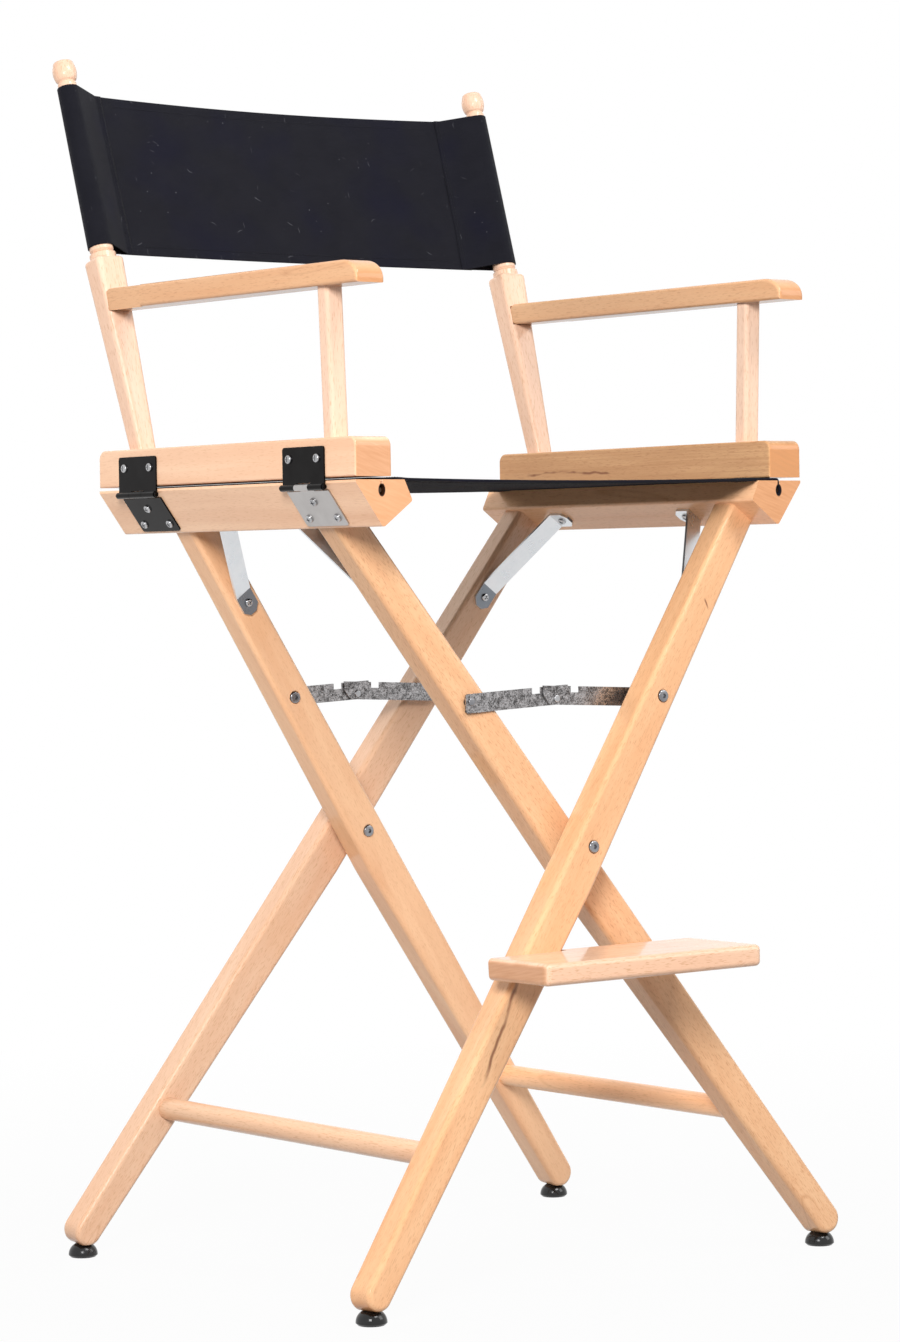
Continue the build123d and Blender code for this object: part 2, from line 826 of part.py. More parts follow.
def make_back_post(lean):
    """A tapered square post, then a turned collar, a tapered dowel for the canvas and a finial."""
    plane = post_plane(lean)
    growth = (post_shoulder_x - post_base) / post_shoulder
    depth_growth = (post_shoulder_y - post_base) / post_shoulder
    below = -post_base
    collar = post_shoulder + collar_height
    dowel = collar + groove_height
    neck = dowel + dowel_length
    finial = neck + finial_neck_height
    top = finial + finial_height
    rounding = finial_edge * (1 - math.sqrt(0.5))
    with BuildPart() as post:
        with BuildSketch(plane.offset(below)):
            RectangleRounded(
                post_base + growth * below,
                post_base + depth_growth * below,
                post_corner * post_base / post_shoulder_y,
            )
        with BuildSketch(plane.offset(post_shoulder)):
            RectangleRounded(post_shoulder_x, post_shoulder_y, post_corner)
        loft()
        fillet(
            post.faces().sort_by(Axis(plane.origin, plane.z_dir))[-1].edges(),
            radius=post_top_round,
        )
        split(bisect_by=Plane.XY.offset(arm_top), keep=Keep.TOP)
        with Locations(plane.offset(post_base / 2)):
            Cylinder(
                tenon_radius,
                tenon_length + post_base / 2,
                align=(Align.CENTER, Align.CENTER, Align.MAX),
            )
        with BuildSketch(Plane(plane.origin, x_dir=plane.x_dir, z_dir=-plane.y_dir)):
            with BuildLine():
                Polyline(
                    (0, top),
                    (0, post_shoulder - post_base),
                    (collar_radius, post_shoulder - post_base),
                    (collar_radius, collar),
                    (groove_radius, collar + groove_height / 2),
                    (dowel_base_radius, dowel),
                    (dowel_top_radius, neck),
                    (finial_neck_radius, neck + finial_neck_height / 2),
                    (finial_end_radius, finial),
                )
                ThreePointArc(
                    (finial_end_radius, finial),
                    (finial_radius, finial + finial_belly_height),
                    (finial_end_radius, top - finial_edge),
                )
                ThreePointArc(
                    (finial_end_radius, top - finial_edge),
                    (finial_end_radius - rounding, top - rounding),
                    (finial_end_radius - finial_edge, top),
                )
                Line((finial_end_radius - finial_edge, top), (0, top))
            make_face()
        revolve(axis=Axis(plane.origin, plane.z_dir))
        # Pocket for the armrest's tongue
        neck_width = armrest_width - armrest_neck_cut
        with BuildSketch(Plane.YZ.offset(lean * (armrest_inner + neck_width / 2))):
            with BuildLine():
                armrest_tail(armrest_shoulder, side_play)
            make_face()
        extrude(amount=neck_width / 2 + side_play, both=True, mode=Mode.SUBTRACT)
    return post.part


def armrest_tail(start, grow):
    """The side outline of the armrest's rear end, from y = start to its full round, grown all over."""
    low = armrest_bottom - grow
    high = armrest_bottom + armrest_thickness + grow
    centre = armrest_end - armrest_thickness / 2
    Polyline((centre, high), (start, high), (start, low), (centre, low))
    ThreePointArc(
        (centre, low),
        (armrest_end + grow, (low + high) / 2),
        (centre, high),
    )


def make_armrest(lean):
    """A level board: a waterfall front, and a narrowed tongue let into the back post."""
    top = armrest_bottom + armrest_thickness
    lip = armrest_bottom + armrest_lip
    roll_end = armrest_front + armrest_roll
    tail = armrest_end - armrest_thickness / 2
    outer = armrest_inner + armrest_width
    with BuildPart() as rest:
        with BuildSketch(Plane.YZ.offset(armrest_x(lean))):
            with BuildLine():
                Polyline((tail, armrest_bottom), (armrest_front, armrest_bottom), (armrest_front, lip))
                EllipticalCenterArc(
                    (roll_end, lip),
                    armrest_roll,
                    armrest_thickness - armrest_lip,
                    start_angle=90,
                    arc_size=90,
                )
                Line((roll_end, top), (tail, top))
                ThreePointArc(
                    (tail, top),
                    (armrest_end, (top + armrest_bottom) / 2),
                    (tail, armrest_bottom),
                )
            make_face()
        extrude(amount=armrest_width / 2, both=True)
        sides = rest.faces().sort_by(Axis.X)
        rims = sides[0].edges() + sides[-1].edges()
        fillet(rims, radius=armrest_edge)
        with BuildSketch(Plane.XY.offset(armrest_bottom)) as recess:
            with Locations((lean * (outer - armrest_neck_cut / 2), (armrest_shoulder + armrest_end) / 2)):
                Rectangle(armrest_neck_cut, armrest_end - armrest_shoulder)
            inside = recess.vertices().sort_by(Axis((0, 0, 0), (lean, 0, 0)))[:2]
            fillet(inside.sort_by(Axis.Y)[0], radius=armrest_neck_round)
        extrude(amount=armrest_thickness, mode=Mode.SUBTRACT)
        socket_end = arm_post_plane(lean).offset(arm_post_length + arm_tenon_length + side_play)
        drill([socket_end], tenon_radius + glue_line, 2 * arm_tenon_length)
    return rest.part


def make_arm_post(lean):
    """A rounded post that leans out a little, with round tenons into rail and armrest."""
    plane = arm_post_plane(lean)
    with BuildPart() as post:
        for height in (0, arm_post_length):
            with BuildSketch(Plane.XY.offset(arm_top + height)):
                with Locations((lean * (arm_post_x + arm_post_flare * height), arm_post_y)):
                    RectangleRounded(arm_post_width, arm_post_depth, arm_post_corner)
        loft()
        with Locations(plane.offset(-tenon_length)):
            Cylinder(
                tenon_radius,
                tenon_length + arm_post_length + arm_tenon_length,
                align=(Align.CENTER, Align.CENTER, Align.MIN),
            )
    return post.part


def make_spacer(side):
    """A washer that fills the gap between the crossing legs."""
    start = inner_spread + inner_front.half() - spot_depth + running
    end = outer_spread - outer_front.half() + spot_depth
    with BuildPart() as spacer:
        seat = Plane((0, side * start, pivot_height), x_dir=(1, 0, 0), z_dir=(0, side, 0))
        with BuildSketch(seat):
            Circle(spacer_radius)
            Circle(pivot_bolt_radius + running, mode=Mode.SUBTRACT)
        extrude(amount=end - start)
    return spacer.part


def pivot_seats(leg, clear):
    """Where a pivot bolt's head or nut sits on the leg."""
    return leg.bolt_plane(0, 0, leg.head * (leg.half() - spot_depth + clear), leg.head)


def link_span(leg):
    """The link's two faces, as distances from the middle of the chair."""
    beside_inner_leg = inner_spread - inner_front.slope() * brace_along + inner_front.half()
    start = beside_inner_leg + brace_stand_off
    if (leg.head < 0) != (leg.side < 0):
        start += brace_thickness + side_play
    return start, start + brace_thickness


def make_link(leg):
    """Half of a locking brace, from its bolt on the leg to the joint in the middle."""
    length = brace_along * sin_leg
    level = pivot_height + brace_along * cos_leg
    start, end = link_span(leg)
    rear = max(leg.side * start, leg.side * end)
    half = brace_height / 2
    slant = (brace_joint_offset - brace_leg_offset) / length

    def place(u, v):
        """Along the link from its bolt and up from its sloping middle line."""
        return leg.lean * (length - u), level + brace_leg_offset + slant * u + v

    joint = length + brace_joint_end
    notch = length - brace_notch_from_joint
    with BuildPart() as link:
        with BuildSketch(Plane.XZ.offset(-rear)) as outline:
            with BuildLine():
                Polyline(
                    place(-brace_leg_end, half),
                    place(-brace_leg_end, -half),
                    place(joint - brace_joint_cut_length, -half),
                    place(joint, brace_joint_cut_height - half),
                    place(joint, half),
                    place(notch + brace_notch_length / 2, half),
                    place(notch + brace_notch_length / 2, half - brace_notch_depth),
                    place(notch - brace_notch_length / 2, half - brace_notch_depth),
                    place(notch - brace_notch_length / 2, half),
                    close=True,
                )
            make_face()
            ends = outline.vertices().sort_by(Axis((0, 0, 0), (leg.lean, 0, 0)))[-2:]
            fillet(ends, radius=brace_leg_corner)
            with Locations((leg.lean * length, level)):
                Circle(brace_bolt_radius + running, mode=Mode.SUBTRACT)
            with Locations((0, level)):
                Circle(brace_bore_radius, mode=Mode.SUBTRACT)
        extrude(amount=brace_thickness)
    return link.part


def make_brace_bolt(leg):
    """A button-head bolt through the leg, with a collar up to the link and a peened end past it."""
    seat = abs(leg.point(brace_along, 0, leg.head * (leg.half() - spot_depth)).Y)
    faces = [abs(seat - face) for face in link_span(leg)]
    near = min(faces) - running
    far = max(faces) + running
    collar = 2 * (leg.half() - spot_depth)
    plain = make_bolt(brace_bolt_radius, far)
    with BuildPart() as bolt:
        add(plain)
        for start, end, radius in (
            (collar, near, brace_collar_radius),
            (far, far + brace_rivet_height, brace_rivet_radius),
        ):
            with BuildSketch(Plane.XY.offset(-start)):
                Circle(radius)
            extrude(amount=start - end)
        fillet(
            bolt.edges().filter_by(GeomType.CIRCLE).sort_by(Axis.Z)[0],
            radius=brace_rivet_round,
        )
    return bolt.part


def make_joint_rivet(leg):
    """The rivet of a brace's middle joint, its head on the front of the outer link."""
    start, end = link_span(leg)
    front = min(leg.side * start, leg.side * end)
    level = pivot_height + brace_along * cos_leg
    with BuildPart() as rivet:
        with BuildSketch(Plane((0, front, level), x_dir=(1, 0, 0), z_dir=(0, -1, 0))):
            Circle(brace_rivet_radius)
        extrude(amount=brace_rivet_height)
        fillet(rivet.edges().sort_by(Axis.Y)[0], radius=brace_rivet_round)
        with BuildSketch(Plane((0, front, level), x_dir=(1, 0, 0), z_dir=(0, 1, 0))):
            Circle(brace_bore_radius - running)
        extrude(amount=brace_thickness)
    return rivet.part


def make_footrest():
    """A board on the front of the outer front leg, stepped back beside it."""
    leg = outer_front
    level = footrest_bottom + footrest_thickness
    half = leg_belly_width / 2
    along = (level - pivot_height + half * sin_leg) / cos_leg
    step = leg.point(along, half).X + footrest_leg_gap
    face = leg.plane(leg.half())
    if face.z_dir.Y > 0:
        face = Plane(face.origin, x_dir=face.x_dir, z_dir=-face.z_dir)
    depth = footrest_step_rear - footrest_front
    middle = (footrest_step_rear + footrest_front) / 2
    with BuildPart() as board:
        with BuildSketch(Plane.XY.offset(footrest_bottom)):
            with Locations(((footrest_left + step) / 2, middle)):
                Rectangle(step - footrest_left, depth)
        extrude(amount=footrest_thickness)
        split(bisect_by=face, keep=Keep.TOP)
        with BuildSketch(Plane.XY.offset(footrest_bottom)):
            with Locations(((footrest_right + step) / 2, middle)):
                Rectangle(footrest_right - step, depth)
        extrude(amount=footrest_thickness)
        uprights = board.edges().filter_by(Axis.Z)
        front = uprights.sort_by(Axis.Y)[:2]
        rear = uprights.sort_by(Axis.X)[-2:].sort_by(Axis.Y)[-1]
        fillet(front + [rear], radius=footrest_corner)
        top_rim = board.faces().sort_by(Axis.Z)[-1].edges()
        bottom_rim = board.faces().sort_by(Axis.Z)[0].edges()
        free = [edge for edge in top_rim + bottom_rim if footrest_free(edge, step)]
        fillet(free, radius=footrest_edge)
        drill(
            footrest_screw_planes(),
            footrest_screw_radius + glue_line,
            leg_thickness + footrest_screw_bite + side_play,
        )
    return board.part


def footrest_free(edge, step):
    """True of the board's edges, apart from those cut out for the leg."""
    centre = edge.center()
    return centre.X > step + footrest_leg_gap or centre.Y < footrest_face - footrest_edge


def make_footrest_screw():
    """A countersunk screw, flush at z = 0 and running down."""
    cone = footrest_screw_head - footrest_screw_radius
    with BuildPart() as screw:
        with BuildSketch(Plane.XZ):
            with BuildLine():
                Polyline(
                    (0, 0),
                    (footrest_screw_head, 0),
                    (footrest_screw_radius, -cone),
                    (footrest_screw_radius, -leg_thickness - footrest_screw_bite),
                    (0, -leg_thickness - footrest_screw_bite),
                    close=True,
                )
            make_face()
        revolve(axis=Axis.Z)
        with BuildSketch():
            Rectangle(cross_length, cross_width)
            Rectangle(cross_width, cross_length)
        extrude(amount=-cross_depth, mode=Mode.SUBTRACT)
    return screw.part


def make_seat_dowel(lean):
    """The thin rod in the canvas loop, inside the rail's keyhole slot."""
    with BuildPart() as dowel:
        with BuildSketch(Plane.XZ.offset(-(rail_rear - seat_dowel_inset))):
            with Locations((lean * slot_x, slot_bore_z)):
                Circle(seat_dowel_radius)
        extrude(amount=rail_length - 2 * seat_dowel_inset)
    return dowel.part


def cloth_band(reach, flat, low, high):
    """A face in the XZ sketch: flat over the rails, sagging between them."""
    with BuildLine() as outline:
        Polyline((-flat, low), (-reach, low), (-reach, high), (-flat, high))
        ThreePointArc((-flat, high), (0, high - seat_sag), (flat, high))
        Polyline((flat, high), (reach, high), (reach, low), (flat, low))
        ThreePointArc((flat, low), (0, low - seat_sag), (-flat, low))
    make_face(outline.edges())


def make_seat_canvas():
    """The seat: a taut cloth with hemmed front and rear, looped round a dowel in each rail."""
    low = rail_top + cloth_gap
    high = low + seat_cloth
    stem = slot_width - 2 * cloth_gap
    hem_extra = (seat_hem - seat_cloth) / 2
    rear = rail_rear - seat_inset
    length = rail_length - 2 * seat_inset
    with BuildPart() as cloth:
        with BuildSketch(Plane.XZ.offset(-rear)):
            cloth_band(slot_x + stem / 2, rail_inner_x, low, high)
            for lean in (-1, 1):
                with Locations((lean * slot_x, (slot_bore_z + high) / 2)):
                    Rectangle(stem, high - slot_bore_z)
                with Locations((lean * slot_x, slot_bore_z)):
                    Circle(seat_loop_radius)
                    Circle(seat_dowel_radius + cloth_gap, mode=Mode.SUBTRACT)
        extrude(amount=length)
        for start in (rear, rear - length + seat_hem_width):
            reach = rail_inner_x - seat_hem_from_rail
            with BuildSketch(Plane.XZ.offset(-start)):
                cloth_band(reach, reach - seat_hem_from_rail, low - hem_extra, high + hem_extra)
            extrude(amount=seat_hem_width)
    return cloth.part


def make_back_canvas():
    """The back: a bowed web between two pockets, each round a dowel and sewn to the web beside it."""
    dowel_start = post_shoulder + collar_height + groove_height
    start = dowel_start + back_start
    end = start + back_height
    taper = (dowel_base_radius - dowel_top_radius) / dowel_length
    rake_length = math.hypot(1, post_rake)
    up = Vector(0, post_rake, 1).normalized()
    origin = Vector(0, post_y, arm_top)

    def section(height, bow):
        """The level's plane, the dowel's bore there, its place across, and the seam's two places."""
        plane = Plane(origin + up * height, x_dir=(1, 0, 0), z_dir=up)
        bore = dowel_base_radius - taper * (height - dowel_start) + cloth_gap
        x = post_x + post_flare * height / rake_length
        seam_x = x - back_seam
        return plane, bore, x, seam_x, bow + (bore - bow) * (seam_x / x) ** 2

    levels = [section(start, back_bow_bottom), section(end, back_bow_top)]
    bows = [back_bow_bottom, back_bow_top]
    half = back_cloth / 2
    with BuildPart() as cloth:
        for (plane, _, _, seam_x, seam), bow in zip(levels, bows):
            with BuildSketch(plane):
                with BuildLine():
                    ThreePointArc((-seam_x, seam + half), (0, bow + half), (seam_x, seam + half))
                    Line((seam_x, seam + half), (seam_x, seam - half))
                    ThreePointArc((seam_x, seam - half), (0, bow - half), (-seam_x, seam - half))
                    Line((-seam_x, seam - half), (-seam_x, seam + half))
                make_face()
        loft()
        for wall, tip, shift, mode in (
            (back_cloth, back_cloth, 0, Mode.ADD),
            (0, back_seam_gap, 3 * back_cloth, Mode.SUBTRACT),
        ):
            for lean in (-1, 1):
                for plane, bore, x, seam_x, seam in levels:
                    with BuildSketch(plane):
                        with Locations((lean * x, 0)):
                            Circle(bore + wall)
                        with Locations((lean * (seam_x + shift), seam * (1 - shift / back_seam))):
                            Circle(tip)
                        make_hull()
                loft(mode=mode)
    return cloth.part


screw = make_screw()
foot = make_foot()
for name, leg in legs.items():
    save(make_leg(leg, leg is outer_front), f"{name}_leg")
    save(make_stay(leg), f"{name}_stay")
    stand = leg.point(foot_along, foot_shift)
    save(copies(foot, [Plane((stand.X, stand.Y, 0))]), f"{name}_foot")
    save(make_link(leg), f"{name}_link")

for name, pair in (("outer", (outer_front, outer_rear)), ("inner", (inner_front, inner_rear))):
    save(make_stretcher(pair[0]), f"{name}_stretcher")
    save(copies(screw, stay_screw_planes(pair[0]) + stay_screw_planes(pair[1])), f"{name}_stay_screws")
    with BuildPart() as brace_bolts:
        for leg in pair:
            bolt = make_brace_bolt(leg).moved(
                leg.bolt_plane(brace_along, 0, leg.head * (leg.half() - spot_depth), leg.head).location
            )
            add(bolt)
    save(brace_bolts.part, f"{name}_brace_bolts")

bolt_run = outer_spread + outer_front.half() - inner_spread + inner_front.half() - 2 * spot_depth
pivot_bolt = make_bolt(pivot_bolt_radius, bolt_run + running - pivot_nut_length)
pivot_nut = make_bolt(pivot_bolt_radius, pivot_nut_length)
save(copies(pivot_bolt, [pivot_seats(leg, 0) for leg in (outer_front, outer_rear)]), "pivot_bolts")
save(copies(pivot_nut, [pivot_seats(leg, running) for leg in (inner_front, inner_rear)]), "pivot_nuts")
with BuildPart() as spacers:
    for side in (-1, 1):
        add(make_spacer(side))
save(spacers.part, "pivot_spacers")
save(make_joint_rivet(outer_front), "front_brace_rivet")
save(make_joint_rivet(outer_rear), "rear_brace_rivet")
save(make_footrest(), "footrest_board")
save(copies(make_footrest_screw(), footrest_screw_planes()), "footrest_screws")

for hand, lean, rail_legs in (
    ("left", -1, (inner_front, inner_rear)),
    ("right", 1, (outer_front, outer_rear)),
):
    save(make_seat_rail(lean, rail_legs), f"{hand}_seat_rail")
    save(make_seat_dowel(lean), f"{hand}_seat_dowel")
    save(make_arm_rail(lean), f"{hand}_arm_rail")
    save(make_back_post(lean), f"{hand}_back_post")
    save(make_arm_post(lean), f"{hand}_arm_post")
    save(make_armrest(lean), f"{hand}_armrest")
    with BuildPart() as pins:
        for y in (hinge_front_y, hinge_rear_y):
            add(make_hinge_pin(lean, y))
    save(pins.part, f"{hand}_hinge_pins")
    lower_seats = []
    upper_seats = []
    for place, y in (("front", hinge_front_y), ("rear", hinge_rear_y)):
        save(make_lower_leaf(lean, y), f"{hand}_{place}_lower_leaf")
        save(make_upper_leaf(lean, y), f"{hand}_{place}_upper_leaf")
        lower_seats += lower_screw_planes(lean, y)
        upper_seats += upper_screw_planes(lean, y)
    save(copies(screw, lower_seats), f"{hand}_lower_leaf_screws")
    save(copies(screw, upper_seats), f"{hand}_upper_leaf_screws")

save(make_seat_canvas(), "seat_canvas")
save(make_back_canvas(), "back_canvas")
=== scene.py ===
"""The folding chair, dressed: lacquered beech, black canvas, plated hinges and galvanised braces."""

import math

import bpy
from mathutils import Matrix, Vector


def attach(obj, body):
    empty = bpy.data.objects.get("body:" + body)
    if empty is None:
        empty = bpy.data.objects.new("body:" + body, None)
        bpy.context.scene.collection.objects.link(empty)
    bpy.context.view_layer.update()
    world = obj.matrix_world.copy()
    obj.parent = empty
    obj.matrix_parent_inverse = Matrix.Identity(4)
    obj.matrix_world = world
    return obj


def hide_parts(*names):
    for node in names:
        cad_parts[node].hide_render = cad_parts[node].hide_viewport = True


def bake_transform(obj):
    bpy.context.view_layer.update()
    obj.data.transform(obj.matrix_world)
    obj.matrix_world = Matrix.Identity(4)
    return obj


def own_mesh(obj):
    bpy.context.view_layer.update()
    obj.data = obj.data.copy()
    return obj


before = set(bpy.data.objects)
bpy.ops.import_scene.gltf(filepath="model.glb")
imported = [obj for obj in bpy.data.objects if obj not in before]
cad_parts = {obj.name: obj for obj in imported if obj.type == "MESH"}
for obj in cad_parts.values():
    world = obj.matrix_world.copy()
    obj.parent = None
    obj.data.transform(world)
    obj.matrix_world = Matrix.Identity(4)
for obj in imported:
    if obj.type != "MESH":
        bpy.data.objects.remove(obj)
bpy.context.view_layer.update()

mm = 0.001

# Photograph's camera, solved from the frame's joints; the image is 900 x 1342
image_width = 900
focal_pixels = 3915.57
sensor_width = 36.0
camera_place = Vector((-2.38476, -3.06120, 0.67683))
camera_azimuth = math.radians(37.887)
camera_pitch = math.radians(1.448)
camera_roll = math.radians(-0.891)
camera_reach = 100.0

# Frame sizes that the wood's marks and the canvas follow, in millimetres
leg_angle = math.radians(36.2)
slot_x = 244.5
slot_bore_z = 752.5
bore_radius = 3.4
bore_rise = 5.2
rail_inner_x = 223.0
seat_front = -203.9
seat_rear = 205.0
post_foot = Vector((251.8, 166.0, 801.5))
post_flare = 0.0236
post_rake = 0.306
dowel_start = 209.0
dowel_base_radius = 12.0
dowel_taper = 2.5 / 178.0
back_low = 212.0
back_high = 383.0
back_bow_low = 17.0
back_bow_high = 25.0


def place_camera():
    """The camera of the photograph."""
    forward = Vector(
        (
            math.sin(camera_azimuth) * math.cos(camera_pitch),
            math.cos(camera_azimuth) * math.cos(camera_pitch),
            -math.sin(camera_pitch),
        )
    )
    level = Vector((math.cos(camera_azimuth), -math.sin(camera_azimuth), 0))
    upright = level.cross(forward)
    right = level * math.cos(camera_roll) + upright * math.sin(camera_roll)
    up = upright * math.cos(camera_roll) - level * math.sin(camera_roll)
    data = bpy.data.cameras.new("camera")
    data.sensor_fit = "HORIZONTAL"
    data.sensor_width = sensor_width
    data.lens = focal_pixels / image_width * sensor_width
    data.clip_end = camera_reach
    camera = bpy.data.objects.new("camera", data)
    turn = Matrix((right, up, -forward)).transposed().to_4x4()
    camera.matrix_world = Matrix.Translation(camera_place) @ turn
    bpy.context.collection.objects.link(camera)
    bpy.context.scene.camera = camera


class Shader:
    """A new material with its main shader, and short ways to add nodes to it."""

    def __init__(self, name, **settings):
        self.material = bpy.data.materials.new(name)
        self.material.use_nodes = True
        self.tree = self.material.node_tree
        self.main = self.tree.nodes["Principled BSDF"]
        for socket, value in settings.items():
            self.main.inputs[socket.replace("_", " ")].default_value = value

    def node(self, kind, inputs=None, **attributes):
        """Adds a node; an input is a constant or another node's output."""
        made = self.tree.nodes.new("ShaderNode" + kind)
        for key, value in attributes.items():
            setattr(made, key, value)
        for key, value in (inputs or {}).items():
            if isinstance(value, bpy.types.NodeSocket):
                self.tree.links.new(value, made.inputs[key])
            else:
                made.inputs[key].default_value = value
        return made

    def drive(self, socket, output):
        """Links an output to the main shader."""
        self.tree.links.new(output, self.main.inputs[socket])

    def place(self):
        """Places on the piece, in metres of its own frame."""
        return self.node("TexCoord").outputs["Object"]

    def normal(self):
        """The surface's direction, in the piece's own frame."""
        return self.node("TexCoord").outputs["Normal"]

    def stretch(self, vector, scales):
        """Places with their own scale in each direction."""
        return self.node("Mapping", {"Vector": vector, "Scale": scales}).outputs[0]

    def noise(self, vector, scale, detail=2.0, roughness=0.5, distortion=0.0):
        """Noise between 0 and 1."""
        inputs = {
            "Vector": vector,
            "Scale": scale,
            "Detail": detail,
            "Roughness": roughness,
            "Distortion": distortion,
        }
        return self.node("TexNoise", inputs).outputs["Fac"]

    def drawn_noise(self, vector, scales, detail=2.0, roughness=0.5, distortion=0.0):
        """Noise with its own scale in each direction."""
        return self.noise(self.stretch(vector, scales), 1.0, detail, roughness, distortion)

    def jitter(self, vector, scale, detail):
        """Three noises at once, as a vector."""
        inputs = {"Vector": vector, "Scale": scale, "Detail": detail}
        return self.node("TexNoise", inputs).outputs["Color"]

    def cells(self, vector, scale):
        """Random cells: the distance from each one's middle, and its three random numbers."""
        made = self.node("TexVoronoi", {"Vector": vector, "Scale": scale, "Randomness": 1.0})
        numbers = self.node("SeparateColor", {0: made.outputs["Color"]}).outputs
        return made.outputs["Distance"], numbers

    def remap(self, value, low, high, to_low=0.0, to_high=1.0):
        """A value taken from one range to another and kept within it."""
        inputs = {
            "Value": value,
            "From Min": low,
            "From Max": high,
            "To Min": to_low,
            "To Max": to_high,
        }
        return self.node("MapRange", inputs).outputs["Result"]

    def math(self, operation, first, second=0.0):
        """An operation on one or two numbers."""
        return self.node("Math", {0: first, 1: second}, operation=operation).outputs[0]

    def total(self, *shares):
        """The sum of several values, each times its weight."""
        parts = [self.math("MULTIPLY", value, weight) for value, weight in shares]
        whole = parts[0]
        for part in parts[1:]:
            whole = self.math("ADD", whole, part)
        return whole

    def vector(self, operation, first, second):
        """A vector operation that gives a vector; SCALE takes a number as its second value."""
        key = "Scale" if operation == "SCALE" else 1
        return self.node("VectorMath", {0: first, key: second}, operation=operation).outputs["Vector"]

    def measure(self, operation, first, second=(0, 0, 0)):
        """A vector operation that gives a number."""
        return self.node("VectorMath", {0: first, 1: second}, operation=operation).outputs["Value"]

    def mix(self, factor, first, second):
        """Blends two colours."""
        inputs = {0: factor, 6: first, 7: second}
        return self.node("Mix", inputs, data_type="RGBA").outputs[2]

    def bump(self, height, strength, distance):
        """A surface's direction, bent by a height."""
        inputs = {"Height": height, "Strength": strength, "Distance": distance}
        return self.node("Bump", inputs).outputs[0]


# Colours of beech
beech_pale = Vector((0.92, 0.73, 0.64))
beech_light = Vector((0.815, 0.488, 0.264))
beech_tan = Vector((0.735, 0.378, 0.185))
beech_rust = Vector((0.520, 0.240, 0.105))
beech_end = Vector((0.600, 0.275, 0.118))
streak_colour = (0.190, 0.060, 0.022, 1)
# Near-black brown of the painted shade inside the keyholes
bore_shade_colour = (0.030, 0.012, 0.006, 1)

# Scales of the wood's marks, per metre along the grain and across it
figure_scales = (3.0, 34.0, 34.0)
line_scales = (5.0, 420.0, 420.0)
fleck_scales = (130.0, 1150.0, 1150.0)
vein_scales = (2.2, 15.0, 15.0)
ring_scales = (4.0, 40.0, 420.0)

# How the streaks waver: bends per metre, and how far they stray, in metres
streak_waver_scale = 28.0
streak_waver = 12.0 * mm

# How strongly the wood's marks show, and where in their noise the veins lie
line_strength = 0.40
fleck_strength = 0.42
fleck_most = 0.60
fleck_depth = 0.8
vein_level = 0.66
vein_width = 0.012
vein_strength = 0.30
ring_strength = 0.35
streak_strength = 0.85

# Shares of a piece's paleness that its tan and its end grain take
tan_paleness = 0.7
end_paleness = 0.2

# A direction that no grain runs along, and the step between the boards that pieces are cut from
off_grain = Vector((0.31, 0.17, 0.93))
board_step = (0.37, 0.53, 0.71)

# Keyhole's painted shade: where it starts and where it is full, as shares of the bore
bore_shade_edge = (1.25, 1.10)

# Dark streaks of the photograph, in millimetres: start, finish, half width; mineral streaks, one on the
# front leg partly a painted shadow line
rail_streaks = (
    (Vector((232.8, 168.0, 777.0)), Vector((232.8, 96.0, 781.5)), 1.8),
    (Vector((232.8, 110.0, 780.0)), Vector((232.8, 4.0, 774.5)), 1.8),
)
leg_streaks_and_shadow_line = (
    # Partly a mineral streak, partly a painted shadow line below the footrest
    (Vector((-96.0, -226.0, 310.0)), Vector((-158.0, -237.0, 200.0)), 2.8),
    (Vector((166.4, -191.3, 650.0)), Vector((170.4, -192.7, 636.0)), 1.6),
)


def beech(name, seed, along, pale, tone, end_share=1.0, contrast=1.0, streaks=(), bore=None):
    """Lacquered beech, its grain along one direction: figure, growth lines, flecks, veins, end grain."""
    shader = Shader(name, Coat_Weight=0.55, Coat_Roughness=0.06, Specular_IOR_Level=0.10)
    grain = Vector(along).normalized()
    place = board_place(shader, grain, seed)
    figure = shader.drawn_noise(place, figure_scales, detail=3.0, roughness=0.55, distortion=0.4)
    lines = shader.drawn_noise(place, line_scales, detail=3.0, roughness=0.6)
    flecks = shader.drawn_noise(place, fleck_scales, detail=1.0)
    veins = shader.drawn_noise(place, vein_scales, distortion=0.8)

    light = shade(beech_light.lerp(beech_pale, pale), tone)
    tan = shade(beech_tan.lerp(beech_pale, tan_paleness * pale), tone * contrast)
    rust = shade(beech_rust, tone)
    end = shade(beech_end.lerp(beech_pale, end_paleness * pale) * end_share, tone)
    colour = shader.mix(shader.remap(figure, 0.30, 0.70), light, tan)
    line_mask = shader.remap(lines, 0.42, 0.72, to_high=line_strength * contrast)
    colour = shader.mix(line_mask, colour, tan)
    fleck_mask = shader.remap(flecks, 0.57, 0.68, to_high=min(fleck_most, fleck_strength * contrast))
    colour = shader.mix(fleck_mask, colour, rust)
    from_vein = shader.math("ABSOLUTE", shader.math("SUBTRACT", veins, vein_level))
    vein_mask = shader.remap(from_vein, vein_width, 0.0, to_high=vein_strength * contrast)
    colour = shader.mix(vein_mask, colour, rust)
    colour = add_end_grain(shader, colour, place, grain, end, tan)
    for start, finish, half_width in streaks:
        colour = add_streak(shader, colour, start * mm, finish * mm, half_width * mm)
    # Painted shade inside a seat rail's keyhole
    if bore is not None:
        colour = add_bore_shade(shader, colour, bore * mm)
    shader.drive("Base Color", colour)
    shader.drive("Roughness", shader.remap(lines, 0.3, 0.7, to_low=0.26, to_high=0.40))
    relief = shader.math("SUBTRACT", lines, shader.math("MULTIPLY", fleck_mask, fleck_depth))
    shader.drive("Normal", shader.bump(relief, strength=0.07, distance=0.3 * mm))
    return shader.material


